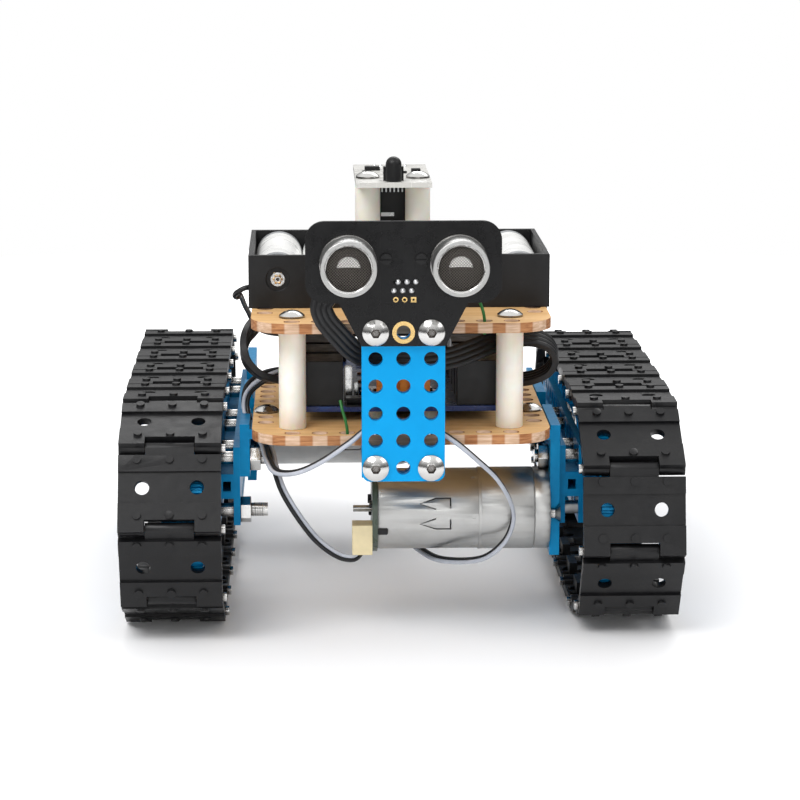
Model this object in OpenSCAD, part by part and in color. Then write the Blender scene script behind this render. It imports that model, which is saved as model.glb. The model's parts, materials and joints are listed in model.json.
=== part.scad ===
// Small tracked robot: two plywood decks on two slotted aluminium beams, a
// crawler track round a drive pulley and an idler pulley on each side, two
// gear motors set diagonally, a distance sensor on a drilled front plate, a
// battery box and a remote-control receiver on top.
// +X is to the right seen from the front, the front faces -Y, +Z is up, and
// the origin is on the ground under the middle of the robot's outline. The
// modules draw with the point midway between the four pulleys as their origin,
// and placed() moves each sub-part from there.

/* [Chassis] */
// Distance between the front and rear pulley axles
wheelbase = 120; // [112:8:128]
// Clear width between the two side beams
beam_gap = 96; // [96:2:104]
// Thickness of a side beam
beam_t = 8; // [8]
// Height of a side beam
beam_h = 24; // [24]
// Height of the pulley axles above the ground
axle_z = 35; // [35]
// Pitch of the hole grid on beams, plates and decks
grid = 8; // [8]

/* [Decks] */
// Width of both decks
deck_w = 88; // [88]
// Length of both decks
deck_l = 104; // [96:8:112]
// Thickness of both decks
deck_t = 3; // [2:0.5:3]
// Corner radius of the decks
deck_r = 12; // [8:1:14]
// Front edge of the decks, behind which the hole grid starts
deck_front = -88; // [-88]
// Height of the underside of the lower deck
lower_z = 60.5; // [60:0.5:61]
// Length of the nylon studs between the decks
stud_l = 30; // [28:1:32]

/* [Tracks] */
// Number of links in one track
link_count = 18; // [18]
// Width of one track
track_w = 30; // [28:1:32]
// Radius of the pin circle round a pulley
pin_circle_r = 31.3; // [31.2:0.1:31.6]
// Angle above the front of its pulley where the right track has a pin, in degrees
right_pin_angle = 34; // [0:1:45]
// Angle above the front of its pulley where the left track has a pin, in degrees
left_pin_angle = 48; // [0:1:60]
// Radius of a link pin
pin_r = 1; // [0.8:0.1:1]
// Teeth on a pulley
pulley_teeth = 90; // [60:2:90]
// Radius over the tips of the pulley teeth
pulley_r = 28.4; // [27.8:0.1:28.4]
// Width of a pulley
pulley_w = 12; // [10:1:12]

/* [Motors] */
// Outer radius of the gearbox case
gearbox_r = 12.4; // [12:0.1:12.4]
// Length of the gearbox case
gearbox_l = 21; // [21:0.5:23]
// Outer radius of the motor can
can_r = 12.2; // [11.8:0.1:12.2]
// Length of the motor can
can_l = 30.8; // [28:0.2:32]
// Teeth on each large gear of the gear train
wheel_teeth = 21; // [21]
// Teeth on each small gear of the gear train
pinion_teeth = 9; // [9]
// Module of the gear train
gear_module = 0.4; // [0.4]

/* [Top side] */
// Width of the battery box
battery_w = 90; // [90:1:92]
// Length of the battery box
battery_l = 57; // [56:0.5:60]
// Height of the battery box
battery_h = 16; // [15.5:0.5:18]
// Number of cells side by side in the battery box
cell_count = 6; // [6]
// Height of the receiver board above the upper deck
ir_stud_l = 30; // [26:1:32]

/* [Hidden] */
$fn = 48;

blue = [0.05, 0.45, 0.75];
sky = [0.05, 0.66, 0.92];
steel = [0.72, 0.73, 0.74];
ply = [0.85, 0.68, 0.42];
black = [0.09, 0.09, 0.10];
nylon = [0.93, 0.93, 0.90];

axle_y = wheelbase / 2;
beam_in = beam_gap / 2;
beam_out = beam_in + beam_t;
beam_l = wheelbase + grid;
beam_z = axle_z + grid;
row_low = axle_z;
row_high = axle_z + 2 * grid;
upper_z = lower_z + deck_t + stud_l;
upper_top = upper_z + deck_t;
lower_top = lower_z + deck_t;
deck_rear = deck_front + deck_l;
stud_x = 4 * grid;
stud_front = deck_front + grid / 2 + grid;
stud_rear = deck_rear - grid / 2 - grid;

bracket_t = 3;
bolt_r = 2;
hole_r = 2.4;
nut_h = 3.2;
nut_r = 3.5 / cos(30);
head_r = 3.8;
head_h = 2.2;
stud_r = 4;
fit = 0.05;
hole_fit = 0.1;

// Extra length of a cut beyond the face that it goes through
cut = 1;

// A box between two corners
module block(a, b) translate(a) cube(b - a);

// Round bars along each axis, from a to b
module bar_x(r, a, b) translate([a, 0, 0]) rotate([0, 90, 0]) cylinder(r = r, h = b - a);
module bar_y(r, a, b) translate([0, a, 0]) rotate([-90, 0, 0]) cylinder(r = r, h = b - a);
module bar_z(r, a, b) translate([0, 0, a]) cylinder(r = r, h = b - a);

// Flat outline w by l about the origin, with round corners
module rounded(w, l, r) {
    square([w - 2 * r, l], center = true);
    square([w, l - 2 * r], center = true);
    for (x = [-1, 1], y = [-1, 1]) translate([x * (w / 2 - r), y * (l / 2 - r)]) circle(r = r);
}

// Button-head bolt pointing down from the origin, head above it
module bolt(l, r = bolt_r, hr = head_r, hh = head_h) {
    rim = 0.28 * hh;
    drop = (hr * hr + rim * rim - hh * hh) / (2 * (hh - rim));
    difference() {
        union() {
            bar_z(r, -l, 0);
            intersection() {
                bar_z(hr, 0, hh);
                translate([0, 0, -drop]) sphere(r = hh + drop);
            }
        }
        translate([0, 0, 0.4 * hh]) cylinder(r = 0.38 * hr, h = hh, $fn = 6);
    }
}

// Hexagon nut standing on the origin
module nut(h = nut_h, r = nut_r, bore = bolt_r + fit) {
    difference() {
        cylinder(r = r, h = h, $fn = 6);
        bar_z(bore, -cut, h + cut);
    }
}

// The other end of the robot: a half turn about the vertical axis
module half_turn(on) rotate([0, 0, on ? 180 : 0]) children();

// ---------------------------------------------------------------- beams and decks

slot_w = 4;
slot_h = 8.4;
slot_mouth = 2;
mid_slot = [2.4, 3];

// Outline of the beam across its length: two closed slots and a small middle one
module beam_outline() {
    difference() {
        square([beam_t, beam_h], center = true);
        for (s = [-1, 1]) {
            translate([0, s * grid]) square([slot_w, slot_h], center = true);
            translate([0, s * (beam_h / 2 - slot_mouth / 2)]) square([slot_mouth, slot_mouth + cut], center = true);
        }
        square(mid_slot, center = true);
    }
}

// Side beam with its two rows of cross holes, side is -1 for left and 1 for right
module side_beam(side) {
    color(blue) difference() {
        translate([side * (beam_in + beam_t / 2), beam_l / 2, beam_z]) rotate([90, 0, 0])
            linear_extrude(beam_l) beam_outline();
        for (y = [-axle_y : grid : axle_y], z = [row_low, row_high])
            translate([0, y, z])
                bar_x(hole_r, side > 0 ? beam_in - cut : -beam_out - cut, side > 0 ? beam_out + cut : -beam_in + cut);
    }
}

module left_side_beam() side_beam(-1);
module right_side_beam() side_beam(1);

// Grid holes of a deck: the front and rear rows and the two side columns
module deck_holes() {
    last = (deck_w / 2 - grid / 2) / grid;
    rows = deck_l / grid - 1;
    for (x = [-last + 1 : last - 1], y = [deck_front + grid / 2, deck_rear - grid / 2])
        translate([x * grid, y]) circle(r = hole_r);
    for (s = [-1, 1], i = [2 : rows - 2])
        translate([s * last * grid, deck_front + grid / 2 + grid * i]) circle(r = hole_r);
    for (s = [-1, 1], y = [stud_front, stud_rear]) translate([s * stud_x, y]) circle(r = bolt_r + hole_fit);
}

// One deck with its underside at height z
module deck(z) {
    translate([0, (deck_front + deck_rear) / 2, z]) linear_extrude(deck_t) difference() {
        rounded(deck_w, deck_l, deck_r);
        translate([0, -(deck_front + deck_rear) / 2]) {
            deck_holes();
            children();
        }
    }
}

spacer_x = grid;
spacer_front = deck_front + 3.5 * grid;
spacer_rear = spacer_front + 8 * grid;
ir_x = grid;
ir_y = stud_rear;

// The lower deck also has the four holes of the controller board
module lower_deck() {
    color(ply) deck(lower_z)
        for (s = [-1, 1], y = [spacer_front, spacer_rear]) translate([s * spacer_x, y]) circle(r = bolt_r + hole_fit);
}

// The upper deck also has the two holes of the receiver studs
module upper_deck() {
    color(ply) deck(upper_z) for (s = [-1, 1]) translate([s * ir_x, ir_y]) circle(r = bolt_r + hole_fit);
}

module at_studs() for (s = [-1, 1], y = [stud_front, stud_rear]) translate([s * stud_x, y, 0]) children();

module deck_studs() {
    color(nylon) at_studs() difference() {
        bar_z(stud_r, lower_top, upper_z);
        bar_z(bolt_r + fit, lower_top - cut, upper_z + cut);
    }
}

stud_bolt_l = deck_t + 8;

// Bolts into both ends of the studs, and those that hold the controller board
module deck_bolts() {
    color(steel) at_studs() {
        translate([0, 0, upper_top]) bolt(stud_bolt_l);
        translate([0, 0, lower_z]) mirror([0, 0, 1]) bolt(stud_bolt_l);
    }
    color(steel) at_board_holes() translate([0, 0, lower_z]) mirror([0, 0, 1]) bolt(board_bolt_l);
}

// ---------------------------------------------------------------- front plate

plate_w = 3 * grid;
plate_h = 6 * grid;
plate_t = 3;
plate_r = 2.5;
plate_hole_r = 2;
plate_back = deck_front - 5;
plate_front = plate_back - plate_t;
top_row = upper_top - 1;
low_row = top_row - 5 * grid;
sensor_t = 1.6;

module front_plate() {
    color(sky) translate([0, plate_back, (top_row + low_row) / 2]) rotate([90, 0, 0]) linear_extrude(plate_t) difference() {
        rounded(plate_w, plate_h, plate_r);
        for (x = [-1 : 1], i = [0 : 5]) translate([x * grid, (i - 2.5) * grid]) circle(r = plate_hole_r + fit);
    }
}

foot_back = deck_front + grid;

// Angle with a 3 by 1 row of holes in each flange, under the front of the lower deck
module front_plate_bracket() {
    color(blue) difference() {
        union() {
            block([-plate_w / 2, plate_back, low_row - 3.5], [plate_w / 2, plate_back + bracket_t, lower_z]);
            block([-plate_w / 2, plate_back, lower_z - bracket_t], [plate_w / 2, foot_back, lower_z]);
        }
        for (x = [-1 : 1]) {
            translate([x * grid, 0, low_row]) bar_y(plate_hole_r + fit, plate_back - cut, plate_back + bracket_t + cut);
            translate([x * grid, deck_front + grid / 2, 0]) bar_z(plate_hole_r + fit, lower_z - bracket_t - cut, lower_z + cut);
        }
    }
}

// The bracket is tapped, so its bolts end just past it
plate_bolt_l = plate_t + bracket_t + 1;

// Two bolts through the foot of the plate, two through the sensor board and two into the deck
module front_plate_bolts() {
    color(steel) for (s = [-1, 1]) {
        translate([s * grid, plate_front, low_row]) rotate([90, 0, 0]) bolt(plate_bolt_l);
        translate([s * grid, plate_front - sensor_t, top_row]) rotate([90, 0, 0]) bolt(sensor_t + plate_t + nut_h);
        translate([s * grid, deck_front + grid / 2, lower_top]) bolt(plate_bolt_l);
    }
}

// ---------------------------------------------------------------- brackets on the beams

corner_l = 3 * grid;
corner_low = row_high - 5;
flange_in = beam_in - 11.8;
bracket_top = lower_z + 1.5;

// Where the three deck corner brackets stand: side of the robot and place along it
CORNERS = [[-1, grid - axle_y], [-1, -grid / 2], [1, -grid / 2]];

// Places of the two bolts of a bracket along Y, about its middle
bolt_pair = [-grid, grid];

// Bracket for the right beam with its middle at the origin of Y: the low edge is at z
module beam_bracket(z, l, flange) {
    difference() {
        union() {
            block([beam_in - bracket_t, -l / 2, z], [beam_in, l / 2, bracket_top]);
            if (flange) block([flange_in, -l / 2, lower_z - bracket_t], [beam_in - bracket_t, l / 2, lower_z]);
        }
        for (y = bolt_pair) {
            translate([0, y, row_high]) bar_x(bolt_r + fit, beam_in - bracket_t - cut, beam_in + cut);
        }
        if (flange) translate([deck_w / 2 - grid / 2, 0, 0]) bar_z(bolt_r + fit, lower_z - bracket_t - cut, lower_z + cut);
    }
}

module at_corner(c) translate([0, c[1], 0]) mirror([c[0] < 0 ? 1 : 0, 0, 0]) children();

module corner_brackets() color(blue) for (c = CORNERS) at_corner(c) beam_bracket(corner_low, corner_l, true);

motor_low = axle_z - 13;
motor_screw_pitch = 17;
motor_screw_r = 1.5;
boss_r = 3.5;
boss_l = 2.5;

// The motor bracket carries the gearbox on its inner face
module motor_bracket(flange) {
    color(blue) difference() {
        beam_bracket(motor_low, 4 * grid, flange);
        translate([0, -grid, axle_z]) bar_x(boss_r + hole_fit, beam_in - bracket_t - cut, beam_in + cut);
        for (s = [-1, 1]) translate([beam_in, s * motor_screw_pitch / 2 - grid, axle_z]) rotate([0, -90, 0]) {
            bar_z(motor_screw_r + fit, -cut, bracket_t + cut);
            translate([0, 0, -0.01]) cylinder(r1 = 2 * motor_screw_r + fit, r2 = motor_screw_r + fit, h = motor_screw_r);
        }
    }
}

module right_motor_bracket() translate([0, grid - axle_y, 0]) motor_bracket(true);
module left_motor_bracket() rotate([0, 0, 180]) translate([0, grid - axle_y, 0]) motor_bracket(false);

screw_head_l = motor_screw_r;
screw_l = bracket_t + 2.5;

module motor_screws() {
    color(steel) for (back = [false, true], s = [-1, 1]) half_turn(back)
        translate([beam_in, -axle_y + s * motor_screw_pitch / 2, axle_z]) rotate([0, -90, 0]) {
            cylinder(r1 = 2 * motor_screw_r, r2 = motor_screw_r, h = screw_head_l);
            bar_z(motor_screw_r, screw_head_l, screw_l);
        }
}

// Every place where a bracket stands: the three corner brackets and the two motor brackets
module at_brackets() {
    for (c = CORNERS) at_corner(c) children();
    for (back = [false, true]) half_turn(back) translate([0, grid - axle_y, 0]) children();
}

// Every bracket that has a flange under the lower deck
module at_flanges() {
    for (c = CORNERS) at_corner(c) children();
    translate([0, grid - axle_y, 0]) children();
}

side_bolt_l = beam_t + bracket_t + nut_h + 1;
flange_bolt_l = deck_t + bracket_t + nut_h + 1;
flange_x = deck_w / 2 - grid / 2;

module bracket_bolts() {
    color(steel) {
        at_brackets() for (y = bolt_pair) translate([beam_out, y, row_high]) rotate([0, 90, 0]) bolt(side_bolt_l);
        at_flanges() translate([flange_x, 0, lower_top]) bolt(flange_bolt_l);
    }
}

// All the hexagon nuts: on the brackets, deck flanges, sensor, idler axles and controller board
module nuts() {
    color(steel) {
        at_brackets() for (y = bolt_pair)
            translate([beam_in - bracket_t, y, row_high]) rotate([0, -90, 0]) rotate([0, 0, 30]) nut();
        at_flanges() translate([flange_x, 0, lower_z - bracket_t]) mirror([0, 0, 1]) nut();
        for (s = [-1, 1]) translate([s * grid, plate_back, top_row]) rotate([-90, 0, 0]) nut();
        for (back = [false, true]) half_turn(back)
            translate([-beam_in, -axle_y, axle_z]) rotate([0, 90, 0]) nut();
        at_board_holes() translate([0, 0, pcb_top]) nut();
    }
}

// ---------------------------------------------------------------- motors and gear trains

// The frame of a motor: its origin is on the axle at the bracket's inner face, +X points at the beam
module at_motor(back) half_turn(back) translate([beam_in - bracket_t, -axle_y, axle_z]) children();

wall = 0.8;
face_t = 2.5;
seam_x = 4.6;
seam = 0.25;
can_wall = 1;
can_end = gearbox_l + can_l;
rotor_r = 1;
gear_pin_r = 1;
gear_w = 3.2;
gear_step = 4.2;
gear_start = 0.7 - gearbox_l;
gear_gap = gear_module * (wheel_teeth + pinion_teeth) / 2;
shaft_r = 2;

// Case of the gearbox with its front plate, boss and the fixed pin of the first and third gears
module gearbox_case(back) {
    color(steel) at_motor(back) {
        difference() {
            union() {
                bar_x(gearbox_r, -gearbox_l, 0);
                bar_x(boss_r, -face_t, boss_l);
            }
            bar_x(gearbox_r - wall, -gearbox_l - cut, -face_t);
            bar_x(shaft_r + fit, -face_t - cut, boss_l + cut);
            for (s = [-1, 1]) translate([0, s * motor_screw_pitch / 2, 0]) bar_x(motor_screw_r + fit, -face_t - cut, cut);
            difference() {
                bar_x(gearbox_r + cut, -seam_x - seam, -seam_x);
                bar_x(gearbox_r - seam, -seam_x - seam - cut, -seam_x + cut);
            }
        }
        translate([0, 0, gear_gap]) bar_x(gear_pin_r, fit - gearbox_l, -face_t);
    }
}

module left_gearbox_case() gearbox_case(true);
module right_gearbox_case() gearbox_case(false);

// Length, half width and slot width of a stamped latch, and the distance of its straight end from the can's back
latch_l = 9.6;
latch_tip_l = 5;
latch_half = 1.9;
latch_slot = 0.45;
latch_end = 22;
latch_angles = [19, -10];

// Outline of the stamped latch on the can: an arrow that points at -X, its tip at the origin
module latch_outline() {
    polygon([[0, 0], [latch_tip_l, latch_half], [latch_l, latch_half], [latch_l, latch_half - latch_slot],
        [latch_tip_l, latch_half - latch_slot], [latch_slot, 0]]);
    translate([latch_l - latch_slot, -latch_half + latch_slot]) square([latch_slot, 2 * latch_half - latch_slot]);
    polygon([[0, 0], [latch_tip_l, -latch_half], [latch_tip_l, -latch_half + latch_slot], [latch_slot, 0]]);
}

vent_r = 1.2;
dimple_r = 0.6;

// Can of the motor: a closed cup with a bearing hole at both ends and two stamped latches at the front and back
module motor_can(back) {
    color(steel) at_motor(back) difference() {
        bar_x(can_r, -can_end, -gearbox_l);
        bar_x(can_r - can_wall, -can_end + 2 * can_wall, -gearbox_l - 2 * can_wall);
        bar_x(rotor_r + fit, -can_end - cut, -gearbox_l + cut);
        for (turn = [0, 180], a = latch_angles) rotate([turn - a, 0, 0]) translate([latch_end - latch_l - can_end, 0, 0])
            rotate([90, 0, 0]) translate([0, 0, can_r - can_wall - cut]) linear_extrude(can_wall + 2 * cut)
                mirror([0, a < 0 ? 1 : 0]) latch_outline();
        for (a = [30 : 60 : 330]) rotate([a, 0, 0])
            translate([-gearbox_l - 2, 0, can_r - dimple_r / 2]) bar_z(dimple_r, 0, dimple_r + cut);
    }
}

module left_motor_can() motor_can(true);
module right_motor_can() motor_can(false);

armature = [8.5, -gearbox_l - can_l + 7, -gearbox_l - 5];
magnet_t = 2;

// Two curved magnets in each can
module motor_magnets() {
    color(black) for (back = [false, true]) at_motor(back) difference() {
        bar_x(can_r - can_wall - fit, armature[1], armature[2]);
        bar_x(can_r - can_wall - fit - magnet_t, armature[1] - cut, armature[2] + cut);
        block([armature[1] - cut, -can_r, -3], [armature[2] + cut, can_r, 3]);
    }
}

// Flat tooth outline of a gear: a straight-sided tooth, turned by the angle phase
function tooth_ring(teeth, root, tip, w_root, w_tip, phase) = [
    for (i = [0 : teeth - 1], k = [[root, -w_root], [tip, -w_tip], [tip, w_tip], [root, w_root]])
        let (a = phase + 360 / teeth * (i + k[1] / 2)) [k[0] * cos(a), k[0] * sin(a)]
];

gear_addendum = 0.8;
gear_dedendum = 1.15;
tooth_root = 0.62;
tooth_tip = 0.2;

// Gear of the train along +X, with one tooth at the angle phase from +Y towards +Z
module gear(teeth, l, phase) {
    rotate([90, 0, 90]) linear_extrude(l) polygon(tooth_ring(teeth, gear_module * (teeth / 2 - gear_dedendum),
        gear_module * (teeth / 2 + gear_addendum), tooth_root, tooth_tip, phase));
}

up = 90;
down = 270;

// Large gear in layer k with its small gear in the next layer, bored for its pin
module compound_gear(back, k, offset) {
    color("goldenrod") at_motor(back) translate([gear_start + k * gear_step, 0, offset ? gear_gap : 0]) difference() {
        union() {
            gear(wheel_teeth, gear_w, (offset ? down : up) + 180 / wheel_teeth);
            gear(pinion_teeth, gear_w + gear_step, offset ? down : up);
        }
        bar_x(gear_pin_r + fit, -cut, gear_w + gear_step + cut);
    }
}

module left_first_gear() compound_gear(true, 0, true);
module right_first_gear() compound_gear(false, 0, true);
module left_second_gear() compound_gear(true, 1, false);
module right_second_gear() compound_gear(false, 1, false);
module left_third_gear() compound_gear(true, 2, true);
module right_third_gear() compound_gear(false, 2, true);

rear_shaft_l = 7.2;

// Rotor: armature, shaft through both ends of the can and the first small gear
module motor_rotor(back) {
    color(steel) at_motor(back) {
        bar_x(rotor_r, -can_end - rear_shaft_l, gear_start + gear_w);
        translate([gear_start, 0, 0]) gear(pinion_teeth, gear_w, up);
        bar_x(armature[0], armature[1], armature[2]);
    }
}

module left_motor_rotor() motor_rotor(true);
module right_motor_rotor() motor_rotor(false);

pulley_in = beam_out + head_h + 0.4;
pulley_out = pulley_in + pulley_w;

// Output shaft with the last large gear, and the thin pin at its root that the second gear runs on
module output_shaft(back) {
    last = gear_start + 3 * gear_step;
    color(steel) at_motor(back) {
        bar_x(gear_pin_r, gear_start + gear_step - fit, last);
        translate([last, 0, 0]) gear(wheel_teeth, gear_w, up + 180 / wheel_teeth);
        bar_x(shaft_r, last, pulley_out - 1 - beam_in + bracket_t);
    }
}

module left_output_shaft() output_shaft(true);
module right_output_shaft() output_shaft(false);

board_r = 13;
board_t = 1.6;
board_back = -can_end - board_t - fit;
plug = [6, 7, 9];
plug_at = [-12, -11.5];
plug_wall = 1;
plug_recess = 2.5;

// Round board on the back of the motor
module motor_board(back) {
    color("darkgreen") at_motor(back) difference() {
        bar_x(board_r, board_back, -can_end - fit);
        bar_x(rotor_r + 0.5, board_back - cut, cut - can_end);
    }
}

module left_motor_board() motor_board(true);
module right_motor_board() motor_board(false);

// The wire plugs behind the two motor boards
module motor_plugs() color("beige") for (back = [false, true]) at_motor(back)
    translate([board_back - plug[0], plug_at[0], plug_at[1]]) difference() {
        cube(plug);
        translate([plug_wall, plug_wall, -cut])
            cube([plug[0] - 2 * plug_wall, plug[1] - 2 * plug_wall, plug_recess]);
    }

// ---------------------------------------------------------------- pulleys

web_t = 4;
rim_t = 3;
hub_r = 9;
window_r = 5.5;
window_circle = 16.5;
window_count = 6;
bush_r = 4;
bush_l = 4;
bush_flange_r = 5;
bush_flange_t = 1;
set_screw_r = 1.5;

// Toothed pulley between the planes pulley_in and pulley_out of the right side
module pulley(bore) {
    difference() {
        translate([pulley_in, 0, 0]) rotate([90, 0, 90]) linear_extrude(pulley_w)
            polygon(tooth_ring(pulley_teeth, pulley_r - 0.8, pulley_r, 0.62, 0.42, 0));
        for (x = [[pulley_in - cut, pulley_in + (pulley_w - web_t) / 2], [pulley_out - (pulley_w - web_t) / 2, pulley_out + cut]])
            difference() {
                bar_x(pulley_r - 0.8 - rim_t, x[0], x[1]);
                bar_x(hub_r, x[0] - cut, x[1] + cut);
            }
        for (i = [0 : window_count - 1]) rotate([360 / window_count * i, 0, 0])
            translate([0, 0, window_circle]) bar_x(window_r, pulley_in, pulley_out);
        bar_x(bore, pulley_in - cut, pulley_out + cut);
        children();
    }
}

// A set screw hole in the hub of a drive pulley
module drive_pulley() {
    color(blue) translate([0, -axle_y, axle_z]) pulley(shaft_r + fit)
        translate([pulley_in + 2, 0, 0]) bar_z(set_screw_r, 0, hub_r + cut);
}

module right_drive_pulley() drive_pulley();
module left_drive_pulley() half_turn(true) drive_pulley();

module idler_pulley() color(blue) translate([0, axle_y, axle_z]) pulley(bush_r + 0.02);

module right_idler_pulley() idler_pulley();
module left_idler_pulley() half_turn(true) idler_pulley();

// Flanged bushes in both ends of an idler pulley
module idler_bushes() {
    color("goldenrod") translate([0, axle_y, axle_z]) difference() {
        union() {
            bar_x(bush_r, pulley_in, pulley_in + bush_l);
            bar_x(bush_r, pulley_out - bush_l, pulley_out);
            bar_x(bush_flange_r, pulley_in - bush_flange_t, pulley_in);
            bar_x(bush_flange_r, pulley_out, pulley_out + bush_flange_t);
        }
        bar_x(bolt_r + fit, pulley_in - bush_flange_t - cut, pulley_out + bush_flange_t + cut);
    }
}

module right_idler_bushes() idler_bushes();
module left_idler_bushes() half_turn(true) idler_bushes();

idler_head_in = pulley_out + bush_flange_t + fit;
idler_end = beam_in - nut_h - 5;

module idler_axles() color(steel) for (back = [false, true]) half_turn(back)
    translate([idler_head_in, axle_y, axle_z]) rotate([0, 90, 0]) bolt(idler_head_in - idler_end);

spacer_ring_r = 3.5;

module idler_spacers() color(nylon) for (back = [false, true]) half_turn(back) translate([0, axle_y, axle_z]) difference() {
    bar_x(spacer_ring_r, beam_out, pulley_in - bush_flange_t - fit);
    bar_x(bolt_r + fit, beam_out - cut, pulley_in + cut);
}

// ---------------------------------------------------------------- tracks

track_x = beam_out - 3 + track_w / 2;
half_run = wheelbase / 2;
arc_l = PI * pin_circle_r;
loop_l = 2 * wheelbase + 2 * arc_l;

// Point [y, z] on the pin loop at the distance s from the middle of the top run, going forwards
function loop_point(s) =
    let (t = s % loop_l)
    t < half_run ? [-t, axle_z + pin_circle_r]
    : t < half_run + arc_l ? let (a = (t - half_run) / arc_l * 180)
        [-half_run - pin_circle_r * sin(a), axle_z + pin_circle_r * cos(a)]
    : t < half_run + arc_l + wheelbase ? [t - half_run - arc_l - half_run, axle_z - pin_circle_r]
    : t < loop_l - half_run ? let (a = (t - half_run - arc_l - wheelbase) / arc_l * 180)
        [half_run + pin_circle_r * sin(a), axle_z - pin_circle_r * cos(a)]
    : [loop_l - t, axle_z + pin_circle_r];

// Next point along the loop at the straight distance p from s, by halving the interval lo hi
function next_pin(s, p, lo, hi, n = 26) =
    let (mid = (lo + hi) / 2)
    n == 0 ? s + mid
    : norm(loop_point(s + mid) - loop_point(s)) < p ? next_pin(s, p, mid, hi, n - 1) : next_pin(s, p, lo, mid, n - 1);

// Place reached after n links of pitch p
function walk(s, p, n) = n == 0 ? s : walk(next_pin(s, p, p - 0.1, 1.2 * p), p, n - 1);

// Pitch with which link_count equal links close the loop
function closing_pitch(s, lo, hi, n = 22) =
    let (mid = (lo + hi) / 2)
    n == 0 ? mid : walk(s, mid, link_count) < s + loop_l ? closing_pitch(s, mid, hi, n - 1) : closing_pitch(s, lo, mid, n - 1);

function pin_list(s, p, n) = n == 0 ? [] : concat([loop_point(s)], pin_list(next_pin(s, p, p - 0.1, 1.2 * p), p, n - 1));

// All pins of a track that has a pin at the given angle above the front of its pulley
function track_pin_points(angle) =
    let (s = half_run + arc_l * (90 - angle) / 180, mean = loop_l / link_count)
    pin_list(s, closing_pitch(s, 0.94 * mean, mean), link_count);

knuckle_r = 2;
knuckle_gap = 0.3;
tongue_w = 14.3;
ear_gap = 0.2;
link_t = 2.2;
bar_top = 3;
bump_top = 3.7;
bar_in = 4.7;
bump_r = 1.25;
bump_x = 9.5;
bump_y = 8.35;
link_hole_r = 2.1;
guide = [2.5, 10, 4];
guide_x = [pulley_in - 0.6 - guide[0] - track_x, pulley_out + 0.6 - track_x];
rib = [5, 1.2, 0.8];

// One link: X across the track, the tongue's pin at +Y, the ears' pin at -Y, outside up
module track_link(p) {
    hp = p / 2;
    w = track_w / 2;
    shoulder = hp - knuckle_r - knuckle_gap;
    ear = tongue_w / 2 + ear_gap;
    difference() {
        union() {
            block([-w, -shoulder, 0], [w, shoulder, link_t]);
            block([-w, bar_in, link_t - cut], [w, shoulder, bar_top]);
            block([-w, -shoulder, link_t - cut], [w, -bar_in, bar_top]);
            block([-tongue_w / 2, shoulder - cut, 0], [tongue_w / 2, hp, knuckle_r]);
            translate([0, hp, 0]) bar_x(knuckle_r, -tongue_w / 2, tongue_w / 2);
            for (s = [-1, 1]) {
                x = s > 0 ? [ear, w] : [-w, -ear];
                block([x[0], -hp - 1.4, 1], [x[1], cut - shoulder, bar_top]);
                block([x[0], -hp, -knuckle_r / 2], [x[1], cut - shoulder, link_t]);
                translate([0, -hp, 0]) bar_x(knuckle_r, x[0], x[1]);
            }
            for (x = [-1 : 1], y = [-bump_y, bump_y]) translate([x * bump_x, y, 0]) bar_z(bump_r, bar_top - cut, bump_top);
            for (x = guide_x) block([x, -guide[1] / 2, -guide[2]], [x + guide[0], guide[1] / 2, cut]);
            for (s = [-1, 1]) translate([-w + rib[0] / 2 + 0.4, s * 3.5, 0]) rotate([0, 0, s * 35])
                block([-rib[0] / 2, -rib[1] / 2, -rib[2]], [rib[0] / 2, rib[1] / 2, cut]);
        }
        for (y = [-hp, hp]) translate([0, y, 0]) bar_x(pin_r + fit, -w - cut, w + cut);
        for (x = [-grid, grid]) translate([x, 0, 0]) bar_z(link_hole_r, -cut, link_t + cut);
    }
}

// The links of one track between the pins, side is -1 for left and 1 for right
module track_links(side, pins) {
    pitch = norm(pins[1] - pins[0]);
    color(black) translate([side * track_x, 0, 0]) for (i = [0 : link_count - 1]) {
        a = pins[i];
        b = pins[(i + 1) % link_count];
        translate([0, (a[0] + b[0]) / 2, (a[1] + b[1]) / 2]) rotate([atan2(a[1] - b[1], a[0] - b[0]), 0, 0])
            mirror([side < 0 ? 1 : 0, 0, 0]) track_link(pitch);
    }
}

right_pins = track_pin_points(right_pin_angle);
left_pins = track_pin_points(left_pin_angle);

module right_track_links() track_links(1, right_pins);
module left_track_links() track_links(-1, left_pins);

pin_head_r = 1.4;
pin_head_l = 1.2;

// Steel pins, with a small head at the inner edge of each track
module track_pins() {
    color(steel) for (side = [-1, 1], p = side > 0 ? right_pins : left_pins)
        translate([side * track_x, p[0], p[1]]) mirror([side < 0 ? 1 : 0, 0, 0]) {
            bar_x(pin_r, -track_w / 2 - pin_head_l, track_w / 2);
            bar_x(pin_head_r, -track_w / 2 - pin_head_l, -track_w / 2);
        }
}

// ---------------------------------------------------------------- battery box

box_wall = 1.5;
box_front = deck_front + 28;
box_rear = box_front + battery_l;
cell_pitch = (battery_w - 2 * box_wall) / cell_count;
cell_r = cell_pitch / 2 - fit;
cell_l = 49.5;
nub = [2.75, 1];
cell_z = upper_top + box_wall + cell_pitch / 2;
contact_t = 0.4;
contact_size = [10, 9];
terminal_l = 1.6;
rivet_r = 1;
rivet_head = [2.1, 0.6];
recess = [3.5, 0.8];

// Place of cell i across the box
function cell_x(i) = (i - (cell_count - 1) / 2) * cell_pitch;

// The two ends where a lead is riveted on: front of the first cell, rear of the last
module at_rivets() {
    translate([cell_x(0), box_front, cell_z]) rotate([90, 0, 0]) children();
    translate([cell_x(cell_count - 1), box_rear, cell_z]) rotate([-90, 0, 0]) children();
}

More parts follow.
